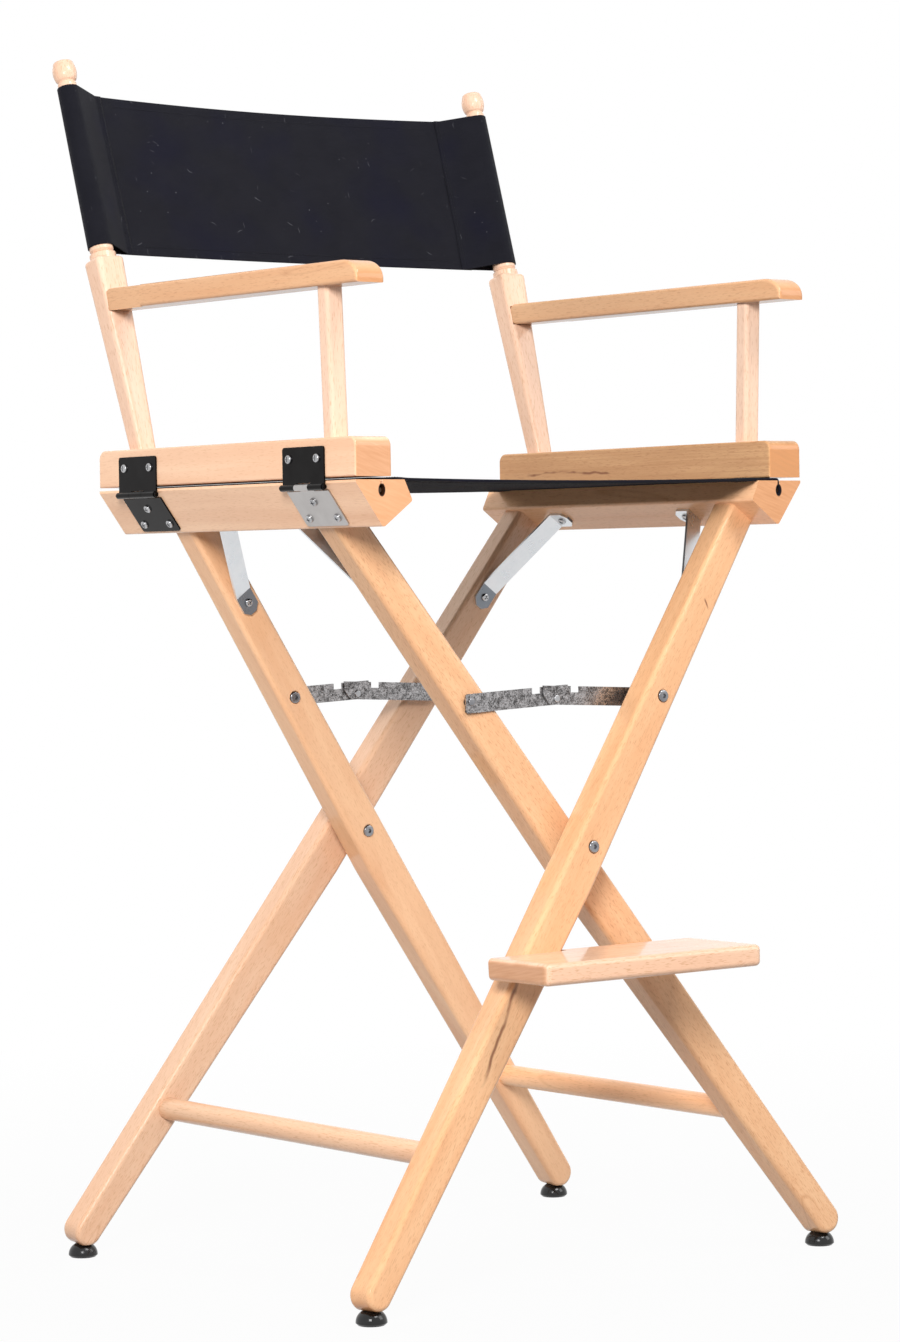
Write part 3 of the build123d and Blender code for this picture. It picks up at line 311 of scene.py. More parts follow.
def board_place(shader, grain, seed):
    """Places in the board that a piece is cut from, with the grain along x."""
    side = grain.cross(off_grain).normalized()
    basis = Matrix((grain, side, grain.cross(side)))
    board = {
        "Vector": shader.place(),
        "Rotation": basis.to_euler(),
        "Location": tuple(step * seed for step in board_step),
    }
    return shader.node("Mapping", board).outputs[0]


def add_end_grain(shader, colour, place, grain, end, tan):
    """Ringed end grain on the faces that are cut across the grain."""
    rings = shader.drawn_noise(place, ring_scales, distortion=0.2)
    ringed = shader.mix(shader.remap(rings, 0.30, 0.75, to_high=ring_strength), end, tan)
    facing = shader.measure("DOT_PRODUCT", shader.normal(), grain)
    mask = shader.remap(shader.math("ABSOLUTE", facing), 0.70, 0.95)
    return shader.mix(mask, colour, ringed)


def add_streak(shader, colour, start, finish, half_width):
    """A dark streak along a wavering line between two points, a mineral streak in the wood; one of them is
    partly a painted shadow line.
    """
    place = shader.place()
    waver = shader.vector("SUBTRACT", shader.jitter(place, streak_waver_scale, 2.0), (0.5, 0.5, 0.5))
    place = shader.vector("ADD", place, shader.vector("SCALE", waver, streak_waver))
    middle = (start + finish) / 2
    half_length = (finish - start).length / 2
    along = (finish - start).normalized()
    offset = shader.vector("SUBTRACT", place, middle)
    run = shader.measure("DOT_PRODUCT", offset, along)
    away = shader.measure("DISTANCE", offset, shader.vector("SCALE", along, run))
    ends = shader.remap(shader.math("ABSOLUTE", run), half_length, 0.6 * half_length)
    sides = shader.remap(away, half_width, 0.3 * half_width, to_high=streak_strength)
    return shader.mix(shader.math("MULTIPLY", sides, ends), colour, streak_colour)


def add_bore_shade(shader, colour, middle):
    """Painted shade inside a keyhole: the rail darkened within an upright ellipse that runs its whole
    length.
    """
    shares = (1 / (bore_radius * mm), 0, 1 / (bore_rise * mm))
    offset = shader.vector("SUBTRACT", shader.place(), middle)
    reach = shader.measure("LENGTH", shader.vector("MULTIPLY", offset, shares))
    return shader.mix(shader.remap(reach, *bore_shade_edge), colour, bore_shade_colour)


def shade(colour, tone):
    """A colour as a shader's constant, darkened by a share."""
    return (*(colour * (1 - tone)), 1)


# Canvas and thread: colours, the yarns' pitch in millimetres, and how the lint lies
canvas_deep = (0.0045, 0.0045, 0.0075, 1)
canvas_faded = (0.0120, 0.0120, 0.0165, 1)
canvas_blue = (0.0055, 0.0055, 0.0150, 1)
lint_colour = (0.095, 0.095, 0.108, 1)
thread_deep = (0.003, 0.003, 0.005, 1)
thread_light = (0.012, 0.012, 0.016, 1)
yarn_pitch = 0.9
lint_turns = (0.5, 1.6, 2.7)
lint_scales = (24.0, 190.0, 1.0)
lint_sway_scale = 160.0
lint_sway = (4.0 * mm, 4.0 * mm, 0.0)
speck_scale = 95.0


def canvas():
    """Black duck: a plain weave along the cloth's own width and length, with lint and rubbed ridges."""
    shader = Shader("black_canvas", Sheen_Weight=0.03, Sheen_Roughness=0.5, Specular_IOR_Level=0.10)
    cloth = shader.node("UVMap", uv_map="cloth").outputs[0]
    ridge = weave(shader, cloth)
    slub = shader.drawn_noise(cloth, (60.0, 900.0, 1.0))
    cloud = shader.noise(cloth, 28.0, detail=3.0)
    wear = shader.total((ridge, 0.45), (slub, 0.35), (cloud, 0.45))
    colour = shader.mix(shader.remap(wear, 0.30, 0.95), canvas_deep, canvas_faded)
    blue = shader.remap(shader.noise(cloth, 11.0), 0.48, 0.68, to_high=0.6)
    colour = shader.mix(blue, colour, canvas_blue)
    shader.drive("Base Color", add_lint(shader, colour, cloth))
    shader.drive("Roughness", shader.remap(ridge, 0.0, 1.0, to_low=0.95, to_high=0.78))
    shader.drive("Normal", shader.bump(ridge, strength=0.5, distance=0.3 * mm))
    return shader.material


def weave(shader, cloth):
    """The height of a plain weave, whose warp and weft take turns on top."""
    ways = shader.node("SeparateXYZ", {0: cloth}).outputs
    turn = math.pi / (yarn_pitch * mm)
    warp = shader.math("SINE", shader.math("MULTIPLY", ways[0], turn))
    weft = shader.math("SINE", shader.math("MULTIPLY", ways[1], turn))
    crossing = shader.remap(shader.math("MULTIPLY", warp, weft), -0.25, 0.25)
    return shader.total(
        (shader.math("ABSOLUTE", warp), crossing),
        (shader.math("ABSOLUTE", weft), shader.math("SUBTRACT", 1.0, crossing)),
    )


def add_lint(shader, colour, cloth):
    """Short fibres that lie three ways, and specks of dust."""
    sway = shader.vector("MULTIPLY", shader.jitter(cloth, lint_sway_scale, 1.0), lint_sway)
    swayed = shader.vector("ADD", cloth, sway)
    for turned in lint_turns:
        lay = shader.node("Mapping", {"Vector": swayed, "Rotation": (0, 0, turned)}).outputs[0]
        distance, chances = shader.cells(shader.stretch(lay, lint_scales), 1.0)
        fibre = shader.remap(distance, 0.11, 0.05)
        chosen = shader.remap(chances[0], 0.78, 1.0, to_high=0.75)
        colour = shader.mix(shader.math("MULTIPLY", fibre, chosen), colour, lint_colour)
    distance, chances = shader.cells(cloth, speck_scale)
    speck = shader.remap(distance, 0.075, 0.045)
    chosen = shader.remap(chances[1], 0.50, 0.95)
    return shader.mix(shader.math("MULTIPLY", speck, chosen), colour, lint_colour)


def thread():
    """Twisted black sewing thread, a little glossier than the cloth."""
    shader = Shader("black_thread", Specular_IOR_Level=0.15)
    twist = shader.node("TexWave", {"Vector": shader.place(), "Scale": 900.0, "Distortion": 1.0})
    strand = twist.outputs["Fac"]
    shader.drive("Base Color", shader.mix(strand, thread_deep, thread_light))
    shader.drive("Roughness", shader.remap(strand, 0.0, 1.0, to_low=0.7, to_high=0.5))
    shader.drive("Normal", shader.bump(strand, strength=0.4, distance=0.2 * mm))
    return shader.material


def polished(name, dark, light, roughness, scratch):
    """Plated metal with faint scratches and a cloudy film that changes its gloss."""
    shader = Shader(name, Metallic=1.0)
    place = shader.place()
    film = shader.noise(place, 55.0, detail=4.0)
    fine = shader.drawn_noise(place, (700.0, 60.0, 700.0))
    shader.drive("Base Color", shader.mix(film, dark, light))
    dullness = shader.total((film, 0.10), (fine, 0.10))
    shader.drive("Roughness", shader.math("ADD", dullness, roughness))
    shader.drive("Normal", shader.bump(fine, strength=scratch, distance=0.05 * mm))
    return shader.material


def galvanised(name):
    """Hot-dipped zinc: a fine spangle of light and dark crystals under cloudy blotches."""
    shader = Shader(name, Metallic=0.9)
    place = shader.place()
    spangle = shader.cells(place, 900.0)[1][0]
    blotch = shader.noise(place, 240.0, detail=4.0, roughness=0.7)
    patch = shader.remap(shader.noise(place, 150.0), 0.35, 0.65, to_low=-0.14, to_high=0.14)
    tone = shader.total((spangle, 0.45), (blotch, 0.65), (patch, 1.0))
    dark = (0.075, 0.072, 0.072, 1)
    light = (0.470, 0.455, 0.460, 1)
    shader.drive("Base Color", shader.mix(shader.remap(tone, 0.32, 0.85), dark, light))
    shader.drive("Roughness", shader.remap(tone, 0.3, 0.9, to_low=0.40, to_high=0.20))
    shader.drive("Normal", shader.bump(tone, strength=0.25, distance=0.2 * mm))
    return shader.material


def zinc(name):
    """Bright zinc plate, faintly blue and cloudy, with a painted dark reflection on the bent ends that
    face the front or the rear.
    """
    shader = Shader(name, Metallic=0.9)
    place = shader.place()
    cloud = shader.noise(place, 60.0, detail=4.0, roughness=0.6)
    fine = shader.drawn_noise(place, (500.0, 500.0, 40.0))
    dull = (0.62, 0.65, 0.68, 1)
    bright = (0.86, 0.88, 0.90, 1)
    # Colour of the painted dark reflection on the bent ends
    dark = (0.100, 0.115, 0.140, 1)
    facing = shader.math("ABSOLUTE", shader.node("SeparateXYZ", {0: shader.normal()}).outputs[1])
    painted_tab_reflection = shader.remap(facing, 0.93, 0.97, to_high=0.85)
    shader.drive("Base Color", shader.mix(painted_tab_reflection, shader.mix(cloud, dull, bright), dark))
    shader.drive("Roughness", shader.remap(cloud, 0.3, 0.7, to_low=0.24, to_high=0.40))
    shader.drive("Normal", shader.bump(fine, strength=0.12, distance=0.1 * mm))
    return shader.material


def moulded(name, dark, light, roughness):
    """Moulded plastic with a fine skin and dusty, rubbed patches."""
    shader = Shader(name, Specular_IOR_Level=0.5)
    place = shader.place()
    skin = shader.noise(place, 1400.0)
    rub = shader.noise(place, 90.0, detail=4.0, roughness=0.6)
    shader.drive("Base Color", shader.mix(shader.remap(rub, 0.45, 0.75), dark, light))
    shader.drive("Roughness", shader.remap(rub, 0.3, 0.75, to_low=roughness, to_high=roughness + 0.2))
    shader.drive("Normal", shader.bump(skin, strength=0.06, distance=0.1 * mm))
    return shader.material


def dress(node, material):
    """Gives a CAD node its material."""
    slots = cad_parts[node].data.materials
    slots.clear()
    slots.append(material)


def wood_looks():
    """How each wooden node's beech looks: its grain's direction, paleness, tone and what sets it apart; a
    few tones are painted light or painted shade.
    """
    lean = (math.sin(leg_angle), 0, math.cos(leg_angle))
    against = (-lean[0], 0, lean[2])
    across = (1, 0, 0)
    rearward = (0, 1, 0)
    upright = (0, 0, 1)
    left_bore = Vector((-slot_x, 0, slot_bore_z))
    right_bore = Vector((slot_x, 0, slot_bore_z))
    looks = {
        "outer_front_leg": dict(along=lean, pale=0.02, tone=0.00, contrast=1.2, streaks=leg_streaks_and_shadow_line),
        "outer_rear_leg": dict(along=lean, pale=0.30, tone=0.05),
        "inner_front_leg": dict(along=against, pale=0.04, tone=0.06, contrast=1.45),
        # Lightened: painted light on a leg that lies in the seat's shade
        "inner_rear_leg": dict(along=against, pale=0.10, tone=-0.17, contrast=0.6),
        "outer_stretcher": dict(along=rearward, pale=0.24, tone=0.02),
        # Lightened: painted light on a stretcher that the footrest and legs shade
        "inner_stretcher": dict(along=rearward, pale=0.08, tone=-0.25),
        "footrest_board": dict(along=across, pale=0.40, tone=0.00, end_share=0.85, contrast=1.2),
        "left_arm_rail": dict(along=rearward, pale=0.30, tone=-0.06, end_share=0.90, contrast=0.5),
        "right_arm_rail": dict(along=rearward, pale=-0.10, tone=0.17, end_share=1.25, contrast=2.0),
        "left_seat_rail": dict(along=rearward, pale=0.26, tone=-0.22, end_share=0.90, contrast=0.6),
        # Lightened: painted light against the seat's shadow on its inner face
        "right_seat_rail": dict(along=rearward, pale=0.10, tone=-0.14, end_share=0.86),
    }
    looks["right_arm_rail"]["streaks"] = rail_streaks
    looks["left_seat_rail"]["bore"] = left_bore
    looks["right_seat_rail"]["bore"] = right_bore
    for hand, way in (("left", -1), ("right", 1)):
        post = (way * post_flare, post_rake, 1)
        looks[f"{hand}_armrest"] = dict(along=rearward, pale=0.03, tone=0.08)
        looks[f"{hand}_back_post"] = dict(along=post, pale=0.50, tone=0.05)
        looks[f"{hand}_arm_post"] = dict(along=upright, pale=0.55, tone=0.03)
        # Darkened almost to black: painted shade, so that the keyholes' ends look like dark, empty holes
        looks[f"{hand}_seat_dowel"] = dict(along=rearward, pale=-0.20, tone=0.93)
    return looks


def dress_wood():
    """Beech for every wooden node, each cut from its own board."""
    for seed, (node, look) in enumerate(sorted(wood_looks().items()), start=1):
        dress(node, beech(f"beech_{node}", seed, **look))


def dress_fittings():
    """Metal and plastic for every other rigid node, by the ending of its name."""
    nickel = polished(
        "hinge_nickel",
        dark=(0.007, 0.006, 0.006, 1),
        light=(0.018, 0.017, 0.017, 1),
        roughness=0.03,
        scratch=0.15,
    )
    # A paler grey plate for one leaf: a painted reflection of the pale floor, on the same plating as the
    # other leaves
    leaf_painted_reflection = polished(
        "hinge_painted_reflection",
        dark=(0.400, 0.380, 0.370, 1),
        light=(0.560, 0.540, 0.530, 1),
        roughness=0.22,
        scratch=0.20,
    )
    chrome = polished(
        "screw_chrome",
        dark=(0.26, 0.26, 0.27, 1),
        light=(0.62, 0.62, 0.63, 1),
        roughness=0.08,
        scratch=0.10,
    )
    bolt = polished(
        "bolt_chrome",
        dark=(0.10, 0.10, 0.11, 1),
        light=(0.46, 0.46, 0.48, 1),
        roughness=0.04,
        scratch=0.10,
    )
    brace = galvanised("brace_zinc")
    stay = zinc("stay_zinc")
    glide = moulded(
        "glide_plastic",
        dark=(0.002, 0.002, 0.002, 1),
        light=(0.008, 0.008, 0.009, 1),
        roughness=0.06,
    )
    spacer = moulded(
        "spacer_nylon",
        dark=(0.015, 0.014, 0.013, 1),
        light=(0.040, 0.038, 0.036, 1),
        roughness=0.35,
    )
    by_ending = {
        "_leaf": nickel,
        "_hinge_pins": nickel,
        "_screws": chrome,
        "_bolts": bolt,
        "_nuts": bolt,
        "_rivet": chrome,
        "_link": brace,
        "_stay": stay,
        "_foot": glide,
        "_spacers": spacer,
    }
    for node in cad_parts:
        for ending, material in by_ending.items():
            if node.endswith(ending):
                dress(node, material)
    # The left front lower leaf gets the paler plate, a painted reflection of the floor
    dress("left_front_lower_leaf", leaf_painted_reflection)


def closed_sheet(name, front, rear, uvs, material, mirrored=False):
    """A closed cloth from two grids of points, with the cloth's flat coordinates as its UV map."""
    rows = len(front)
    columns = len(front[0])
    count = rows * columns
    points = [point * mm for grid in (front, rear) for row in grid for point in row]
    faces = []
    for row in range(rows - 1):
        for column in range(columns - 1):
            first = row * columns + column
            quad = (first, first + 1, first + columns + 1, first + columns)
            faces.append(quad)
            faces.append(tuple(count + corner for corner in reversed(quad)))
    rim = list(range(columns))
    rim += [row * columns + columns - 1 for row in range(1, rows)]
    rim += [(rows - 1) * columns + column for column in range(columns - 2, -1, -1)]
    rim += [row * columns for row in range(rows - 2, 0, -1)]
    for here, after in zip(rim, rim[1:] + rim[:1]):
        faces.append((after, here, count + here, count + after))
    if mirrored:
        faces = [tuple(reversed(face)) for face in faces]
    mesh = bpy.data.meshes.new(name)
    mesh.from_pydata(points, [], faces)
    layer = mesh.uv_layers.new(name="cloth")
    flat = [uv for row in uvs for uv in row]
    for loop in mesh.loops:
        layer.data[loop.index].uv = flat[loop.vertex_index % count]
    mesh.validate()
    return add_piece(name, mesh, material)


def add_piece(name, mesh, material):
    """A smooth-shaded object of one material."""
    for polygon in mesh.polygons:
        polygon.use_smooth = True
    mesh.materials.append(material)
    piece = bpy.data.objects.new(name, mesh)
    bpy.context.collection.objects.link(piece)
    return piece


# Stitches, in millimetres; a ring is a share of the length and a share of the radius
stitch_length = 3.0
stitch_pitch = 4.0
stitch_radius = 0.32
stitch_rings = ((-0.5, 0.15), (-0.42, 0.7), (-0.2, 1.0), (0.2, 1.0), (0.42, 0.7), (0.5, 0.15))
stitch_sides = 6
stitch_rise = 0.75
stitch_dip = 6.0


def stitching(name, runs, material):
    """Separate raised threads along runs of (point, outward normal)."""
    points = []
    faces = []
    for run in runs:
        walked = 0.0
        due = stitch_pitch / 2
        for (start, normal), (end, after) in zip(run, run[1:]):
            step = end - start
            while walked + step.length >= due:
                share = (due - walked) / step.length
                out = normal.lerp(after, share).normalized()
                add_stitch(points, faces, start.lerp(end, share), step.normalized(), out)
                due += stitch_pitch
            walked += step.length
    mesh = bpy.data.meshes.new(name)
    mesh.from_pydata([point * mm for point in points], [], faces)
    return add_piece(name, mesh, material)


def add_stitch(points, faces, middle, along, out):
    """One thread: a bent spindle whose ends dip into the cloth."""
    across = along.cross(out).normalized()
    first = len(points)
    for share, swell in stitch_rings:
        rise = stitch_radius * (stitch_rise - stitch_dip * share * share)
        centre = middle + along * (share * stitch_length) + out * rise
        for side in range(stitch_sides):
            angle = 2 * math.pi * side / stitch_sides
            ring = across * math.cos(angle) + out * math.sin(angle)
            points.append(centre + ring * (stitch_radius * swell))
    for ring in range(len(stitch_rings) - 1):
        for side in range(stitch_sides):
            here = first + ring * stitch_sides + side
            beside = first + ring * stitch_sides + (side + 1) % stitch_sides
            faces.append((here, here + stitch_sides, beside + stitch_sides, beside))
    last = first + (len(stitch_rings) - 1) * stitch_sides
    faces.append(tuple(first + side for side in range(stitch_sides)))
    faces.append(tuple(last + side for side in reversed(range(stitch_sides))))


def smooth_step(value, low, high):
    """A soft step from 0 to 1 between two values."""
    share = min(max((value - low) / (high - low), 0.0), 1.0)
    return share * share * (3 - 2 * share)


def hem_share(inset, width, step):
    """1 in a hem, 0 past it, by the distance from the cloth's edge."""
    return 1 - smooth_step(inset, width - step, width + step)


def edge_share(inset, edge, least):
    """How full the cloth is near its cut edge, so that the edge is round."""
    if inset >= edge:
        return 1.0
    return least + (1 - least) * math.sqrt(1 - (1 - inset / edge) ** 2)


def nearest(places, target):
    """The index of the place that is closest to a target."""
    return min(range(len(places)), key=lambda index: abs(places[index] - target))


# Seat canvas, in millimetres and degrees
seat_level = 763.4
seat_sag = 2.5
seat_single = 1.1
seat_double = 2.0
seat_pocket_x = 205.0
seat_pocket_step = 3.0
seat_skew = 9.9
seat_bend = 2.0
seat_bend_degrees = (90, 60, 30, 0)
seat_loop = 2.75
seat_loop_rise = 4.4
seat_loop_gap = 1.2
seat_loop_cloth = 0.8
seat_loop_degrees = range(75, -226, -25)
seat_span_steps = 56
seat_fade_start = 10.0
seat_fade_end = 2.0
seat_ripple = 0.25
seat_ripple_across = 47.0
seat_ripple_deep = 31.0

# Hems and edges of the seat canvas, in millimetres
seat_hem_width = 24.0
seat_hem_step = 1.0
seat_hem_extra = 1.5
seat_hem_upper_share = 0.4
seat_edge = 0.7
seat_edge_least = 0.35
seat_edge_places = (6.0, 14.0)
seat_border = 40.0
seat_border_steps = 24

# Seams of the seat canvas, in millimetres; a pocket's seams leave out the rows of the cut edges
seat_hem_seams = (3.5, 6.5)
seat_hem_seam_stop = 12.0
seat_pocket_seams = (1.5, 4.5)
seat_seam_rows = slice(3, -3)


def arc(x, z, half_width, half_height, degrees, thickness):
    """Points of the seat's line on an ellipse: (x, z, normal x, normal z, thickness)."""
    points = []
    for turn in degrees:
        cosine = math.cos(math.radians(turn))
        sine = math.sin(math.radians(turn))
        points.append((x + half_width * cosine, z + half_height * sine, cosine, sine, thickness))
    return points


def seat_half_path():
    """The cloth's line from the chair's middle to its loop, as points like an arc's."""
    path = []
    for step in range(seat_span_steps + 1):
        x = rail_inner_x * step / seat_span_steps
        sag = seat_sag * (1 - (x / rail_inner_x) ** 2)
        doubled = smooth_step(x, seat_pocket_x - seat_pocket_step, seat_pocket_x)
        thickness = seat_single + (seat_double - seat_single) * doubled
        path.append((x, seat_level - sag, 0.0, 1.0, thickness))
    bend_x = slot_x - seat_bend
    path.append(((rail_inner_x + bend_x) / 2, seat_level, 0.0, 1.0, seat_double))
    path += arc(bend_x, seat_level - seat_bend, seat_bend, seat_bend, seat_bend_degrees, seat_double)
    path.append((slot_x, slot_bore_z + seat_loop_rise + seat_loop_gap, 1.0, 0.0, seat_double))
    path += arc(slot_x, slot_bore_z, seat_loop, seat_loop_rise, seat_loop_degrees, seat_loop_cloth)
    return path


def seat_rows():
    """Distances from the seat's front edge, closer at the edges and hems."""
    length = seat_rear - seat_front
    edge = [0.0, seat_edge / 2, seat_edge, *seat_edge_places]
    edge += [seat_hem_width - seat_hem_step, seat_hem_width + seat_hem_step, seat_border]
    inner = length - 2 * seat_border
    middle = [seat_border + inner * step / seat_border_steps for step in range(1, seat_border_steps)]
    return edge + middle + [length - place for place in reversed(edge)]


def seat_grids(path, rows):
    """Points of the seat's upper and lower faces, and their places on the flat cloth."""
    length = seat_rear - seat_front
    top = []
    under = []
    uvs = []
    for place in rows:
        inset = min(place, length - place)
        extra = seat_hem_extra * hem_share(inset, seat_hem_width, seat_hem_step)
        full = edge_share(inset, seat_edge, seat_edge_least)
        top_row = []
        under_row = []
        uv_row = []
        walked = 0.0
        previous = None
        for x, z, nx, nz, thickness in path:
            span = 1 - smooth_step(abs(x), rail_inner_x - seat_fade_start, rail_inner_x - seat_fade_end)
            wave = math.sin(place / seat_ripple_deep) * math.sin(x / seat_ripple_across)
            y = seat_front + place - seat_skew * x / slot_x
            middle = Vector((x, y, z + seat_ripple * wave * span))
            out = Vector((nx, 0, nz))
            hem = extra * span
            upper = (thickness / 2 + hem * seat_hem_upper_share) * full
            lower = (thickness / 2 + hem * (1 - seat_hem_upper_share)) * full
            top_row.append(middle + out * upper)
            under_row.append(middle - out * lower)
            if previous is not None:
                walked += (middle - previous).length
            previous = middle
            uv_row.append((walked * mm, place * mm))
        top.append(top_row)
        under.append(under_row)
        uvs.append(uv_row)
    return top, under, uvs


def seat_seams(path, rows, top, under):
    """Runs of stitches along both hems and both pockets, on the upper and the lower face."""
    length = seat_rear - seat_front
    faces = ((top, Vector((0, 0, 1))), (under, Vector((0, 0, -1))))
    stop = rail_inner_x - seat_hem_seam_stop
    runs = []
    for from_hem in seat_hem_seams:
        inset = seat_hem_width - from_hem
        for target in (inset, length - inset):
            row = nearest(rows, target)
            shift = Vector((0, target - rows[row], 0))
            for grid, out in faces:
                inside = [point for point in grid[row] if abs(point.x) < stop]
                runs.append([(point + shift, out) for point in inside])
    places = [point[0] for point in path]
    for side in (-1, 1):
        for from_pocket in seat_pocket_seams:
            target = side * (seat_pocket_x + from_pocket)
            column = nearest(places, target)
            shift = Vector((target - places[column], 0, 0))
            for grid, out in faces:
                runs.append([(row[column] + shift, out) for row in grid[seat_seam_rows]])
    return runs


def make_seat(cloth, yarn):
    """The seat canvas: looped round both dowels, doubled over the rails, hemmed front and rear."""
    half = seat_half_path()
    path = [(-x, z, -nx, nz, thickness) for x, z, nx, nz, thickness in reversed(half[1:])] + half
    rows = seat_rows()
    top, under, uvs = seat_grids(path, rows)
    seat = closed_sheet("seat_cloth", top, under, uvs, cloth)
    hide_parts("seat_canvas")
    seams = stitching("seat_stitching", seat_seams(path, rows, top, under), yarn)
    for piece in (seat, seams):
        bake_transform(piece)


# Back canvas, in millimetres
back_cloth = 1.1
back_play = 0.3
back_seam = 40.0
back_overlap = 7.0
back_hem_width = 12.0
back_hem_step = 0.8
back_hem_extra = 1.0
back_hem_seam = 2.5
back_edge = 0.7
back_edge_least = 0.4
back_edge_places = (4.0, 8.0)
back_rows = 22
back_columns = 64
web_ripple = 0.5
web_ripple_reach = 90.0
web_ripple_across = 60.0
web_ripple_up = 13.0
web_seam_columns = slice(4, -4)
sleeve_arc_steps = 22
sleeve_flat_steps = 8
sleeve_arc_end = 2.5 * math.pi
sleeve_face = 1.5 * back_cloth
sleeve_seams_beside = (2.0, 5.0)
sleeve_seam_rows = slice(2, -2)

# Directions of the raked back
rake_scale = math.hypot(1, post_rake)
back_up = Vector((0, post_rake, 1)) / rake_scale
back_normal = Vector((0, 1, -post_rake)) / rake_scale


def back_point(x, offset, height):
    """A point by its place across, its distance behind the posts' plane and its height up the rake."""
    foot = Vector((0, post_foot.y, post_foot.z))
    return foot + Vector((x, 0, 0)) + back_normal * offset + back_up * height


def post_axis_x(height):
    """The right post's axis at a height."""
    return post_foot.x + post_flare * height / rake_scale


def sleeve_radius(height):
    """The cloth's middle line round the tapered dowel."""
    dowel = dowel_base_radius - dowel_taper * (height - dowel_start)
    return dowel + back_play + back_cloth / 2


def web_offset(x, height):
    """How far the web lies behind the posts' plane."""
    share = (height - back_low) / (back_high - back_low)
    bow = back_bow_low + (back_bow_high - back_bow_low) * share
    rear = sleeve_radius(height)
    return rear + (bow - rear) * (1 - (x / post_axis_x(height)) ** 2)


def back_heights():
    """Heights up the rake, closer at the hems and the edges."""
    edge = [0.0, back_edge / 2, back_edge, *back_edge_places]
    edge += [back_hem_width - back_hem_step, back_hem_width + back_hem_step]
    span = back_high - back_low
    inner = span - 2 * edge[-1]
    middle = [edge[-1] + inner * step / back_rows for step in range(1, back_rows)]
    places = edge + middle + [span - place for place in reversed(edge)]
    return [back_low + place for place in places]


def back_thickness(height):
    """(front, rear) half thicknesses, fuller in the hems and round at the edges."""
    inset = min(height - back_low, back_high - height)
    hem = hem_share(inset, back_hem_width, back_hem_step)
    full = edge_share(inset, back_edge, back_edge_least)
    front = back_cloth / 2 * full
    rear = (back_cloth / 2 + back_hem_extra * hem) * full
    return front, rear


def web_grids(heights):
    """Points of the web's front and rear faces, and their places on the flat cloth."""
    front = []
    rear = []
    uvs = []
    for height in heights:
        reach = post_axis_x(height) - back_seam + back_overlap
        ahead, behind = back_thickness(height)
        front_row = []
        rear_row = []
        uv_row = []
        for column in range(back_columns + 1):
            x = reach * (2 * column / back_columns - 1)
            offset = web_offset(x, height)
            near_seam = smooth_step(abs(x), reach - web_ripple_reach, reach)
            wave = math.sin(height / web_ripple_up + x / web_ripple_across)
            ripple = web_ripple * near_seam * wave
            front_row.append(back_point(x, offset - ahead + ripple, height))
            rear_row.append(back_point(x, offset + behind + ripple, height))
            uv_row.append((x * mm, height * mm))
        front.append(front_row)
        rear.append(rear_row)
        uvs.append(uv_row)
    return front, rear, uvs


def make_web(cloth, yarn):
    """The back's web between its two sleeve seams, hemmed along its top and bottom."""
    heights = back_heights()
    front, rear, uvs = web_grids(heights)
    web = closed_sheet("back_web", front, rear, uvs, cloth)
    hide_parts("back_canvas")

    runs = []
    hem_seam = back_hem_width - back_hem_seam
    for target in (back_low + hem_seam, back_high - hem_seam):
        row = nearest(heights, target)
        shift = back_up * (target - heights[row])
        for grid, out in ((front, -back_normal), (rear, back_normal)):
            runs.append([(point + shift, out) for point in grid[row][web_seam_columns]])
    seams = stitching("back_web_stitching", runs, yarn)
    for piece in (web, seams):
        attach(piece, "right_arm")
        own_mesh(piece)


def sleeve_line(height):
    """The right sleeve's middle line: over the web in front of the seam, round the dowel and back."""
    axis = post_axis_x(height)
    radius = sleeve_radius(height)
    seam_x = axis - back_seam
    seam_offset = web_offset(seam_x, height) - back_cloth
    to_seam = Vector((seam_x - axis, seam_offset))
    lean = math.atan2(to_seam.y, to_seam.x)
    spread = math.acos(radius / to_seam.length)
    start = lean + spread
    tangent = Vector((math.cos(start), math.sin(start))) * radius
    flat_end = web_offset(seam_x - back_overlap, height) - back_cloth
    line = [
        (seam_x - back_overlap, flat_end, 0.0, -1.0),
        (seam_x - back_overlap / 2, (flat_end + seam_offset) / 2, 0.0, -1.0),
    ]
    for step in range(sleeve_flat_steps):
        share = step / sleeve_flat_steps
        x = to_seam.x + (tangent.x - to_seam.x) * share
        offset = to_seam.y + (tangent.y - to_seam.y) * share
        line.append((axis + x, offset, math.cos(start), math.sin(start)))
    for step in range(sleeve_arc_steps + 1):
        angle = start + (sleeve_arc_end - start) * step / sleeve_arc_steps
        cosine = math.cos(angle)
        sine = math.sin(angle)
        line.append((axis + radius * cosine, radius * sine, cosine, sine))
    for step in range(1, sleeve_flat_steps + 1):
        x = axis - (back_seam - back_overlap) * step / sleeve_flat_steps
        line.append((x, web_offset(x, height), 0.0, 1.0))
    return line


def sleeve_grids(way, heights):
    """Points of a sleeve's outer and inner faces, and their places on the flat cloth."""
    outer = []
    inner = []
    uvs = []
    for height in heights:
        half = back_thickness(height)[0]
        outer_row = []
        inner_row = []
        uv_row = []
        walked = 0.0
        previous = None
        for x, offset, nx, normal in sleeve_line(height):
            middle = back_point(way * x, offset, height)
            out = Vector((way * nx, 0, 0)) + back_normal * normal
            outer_row.append(middle + out * half)
            inner_row.append(middle - out * half)
            if previous is not None:
                walked += (middle - previous).length
            previous = middle
            uv_row.append((walked * mm, height * mm))
        outer.append(outer_row)
        inner.append(inner_row)
        uvs.append(uv_row)
    return outer, inner, uvs


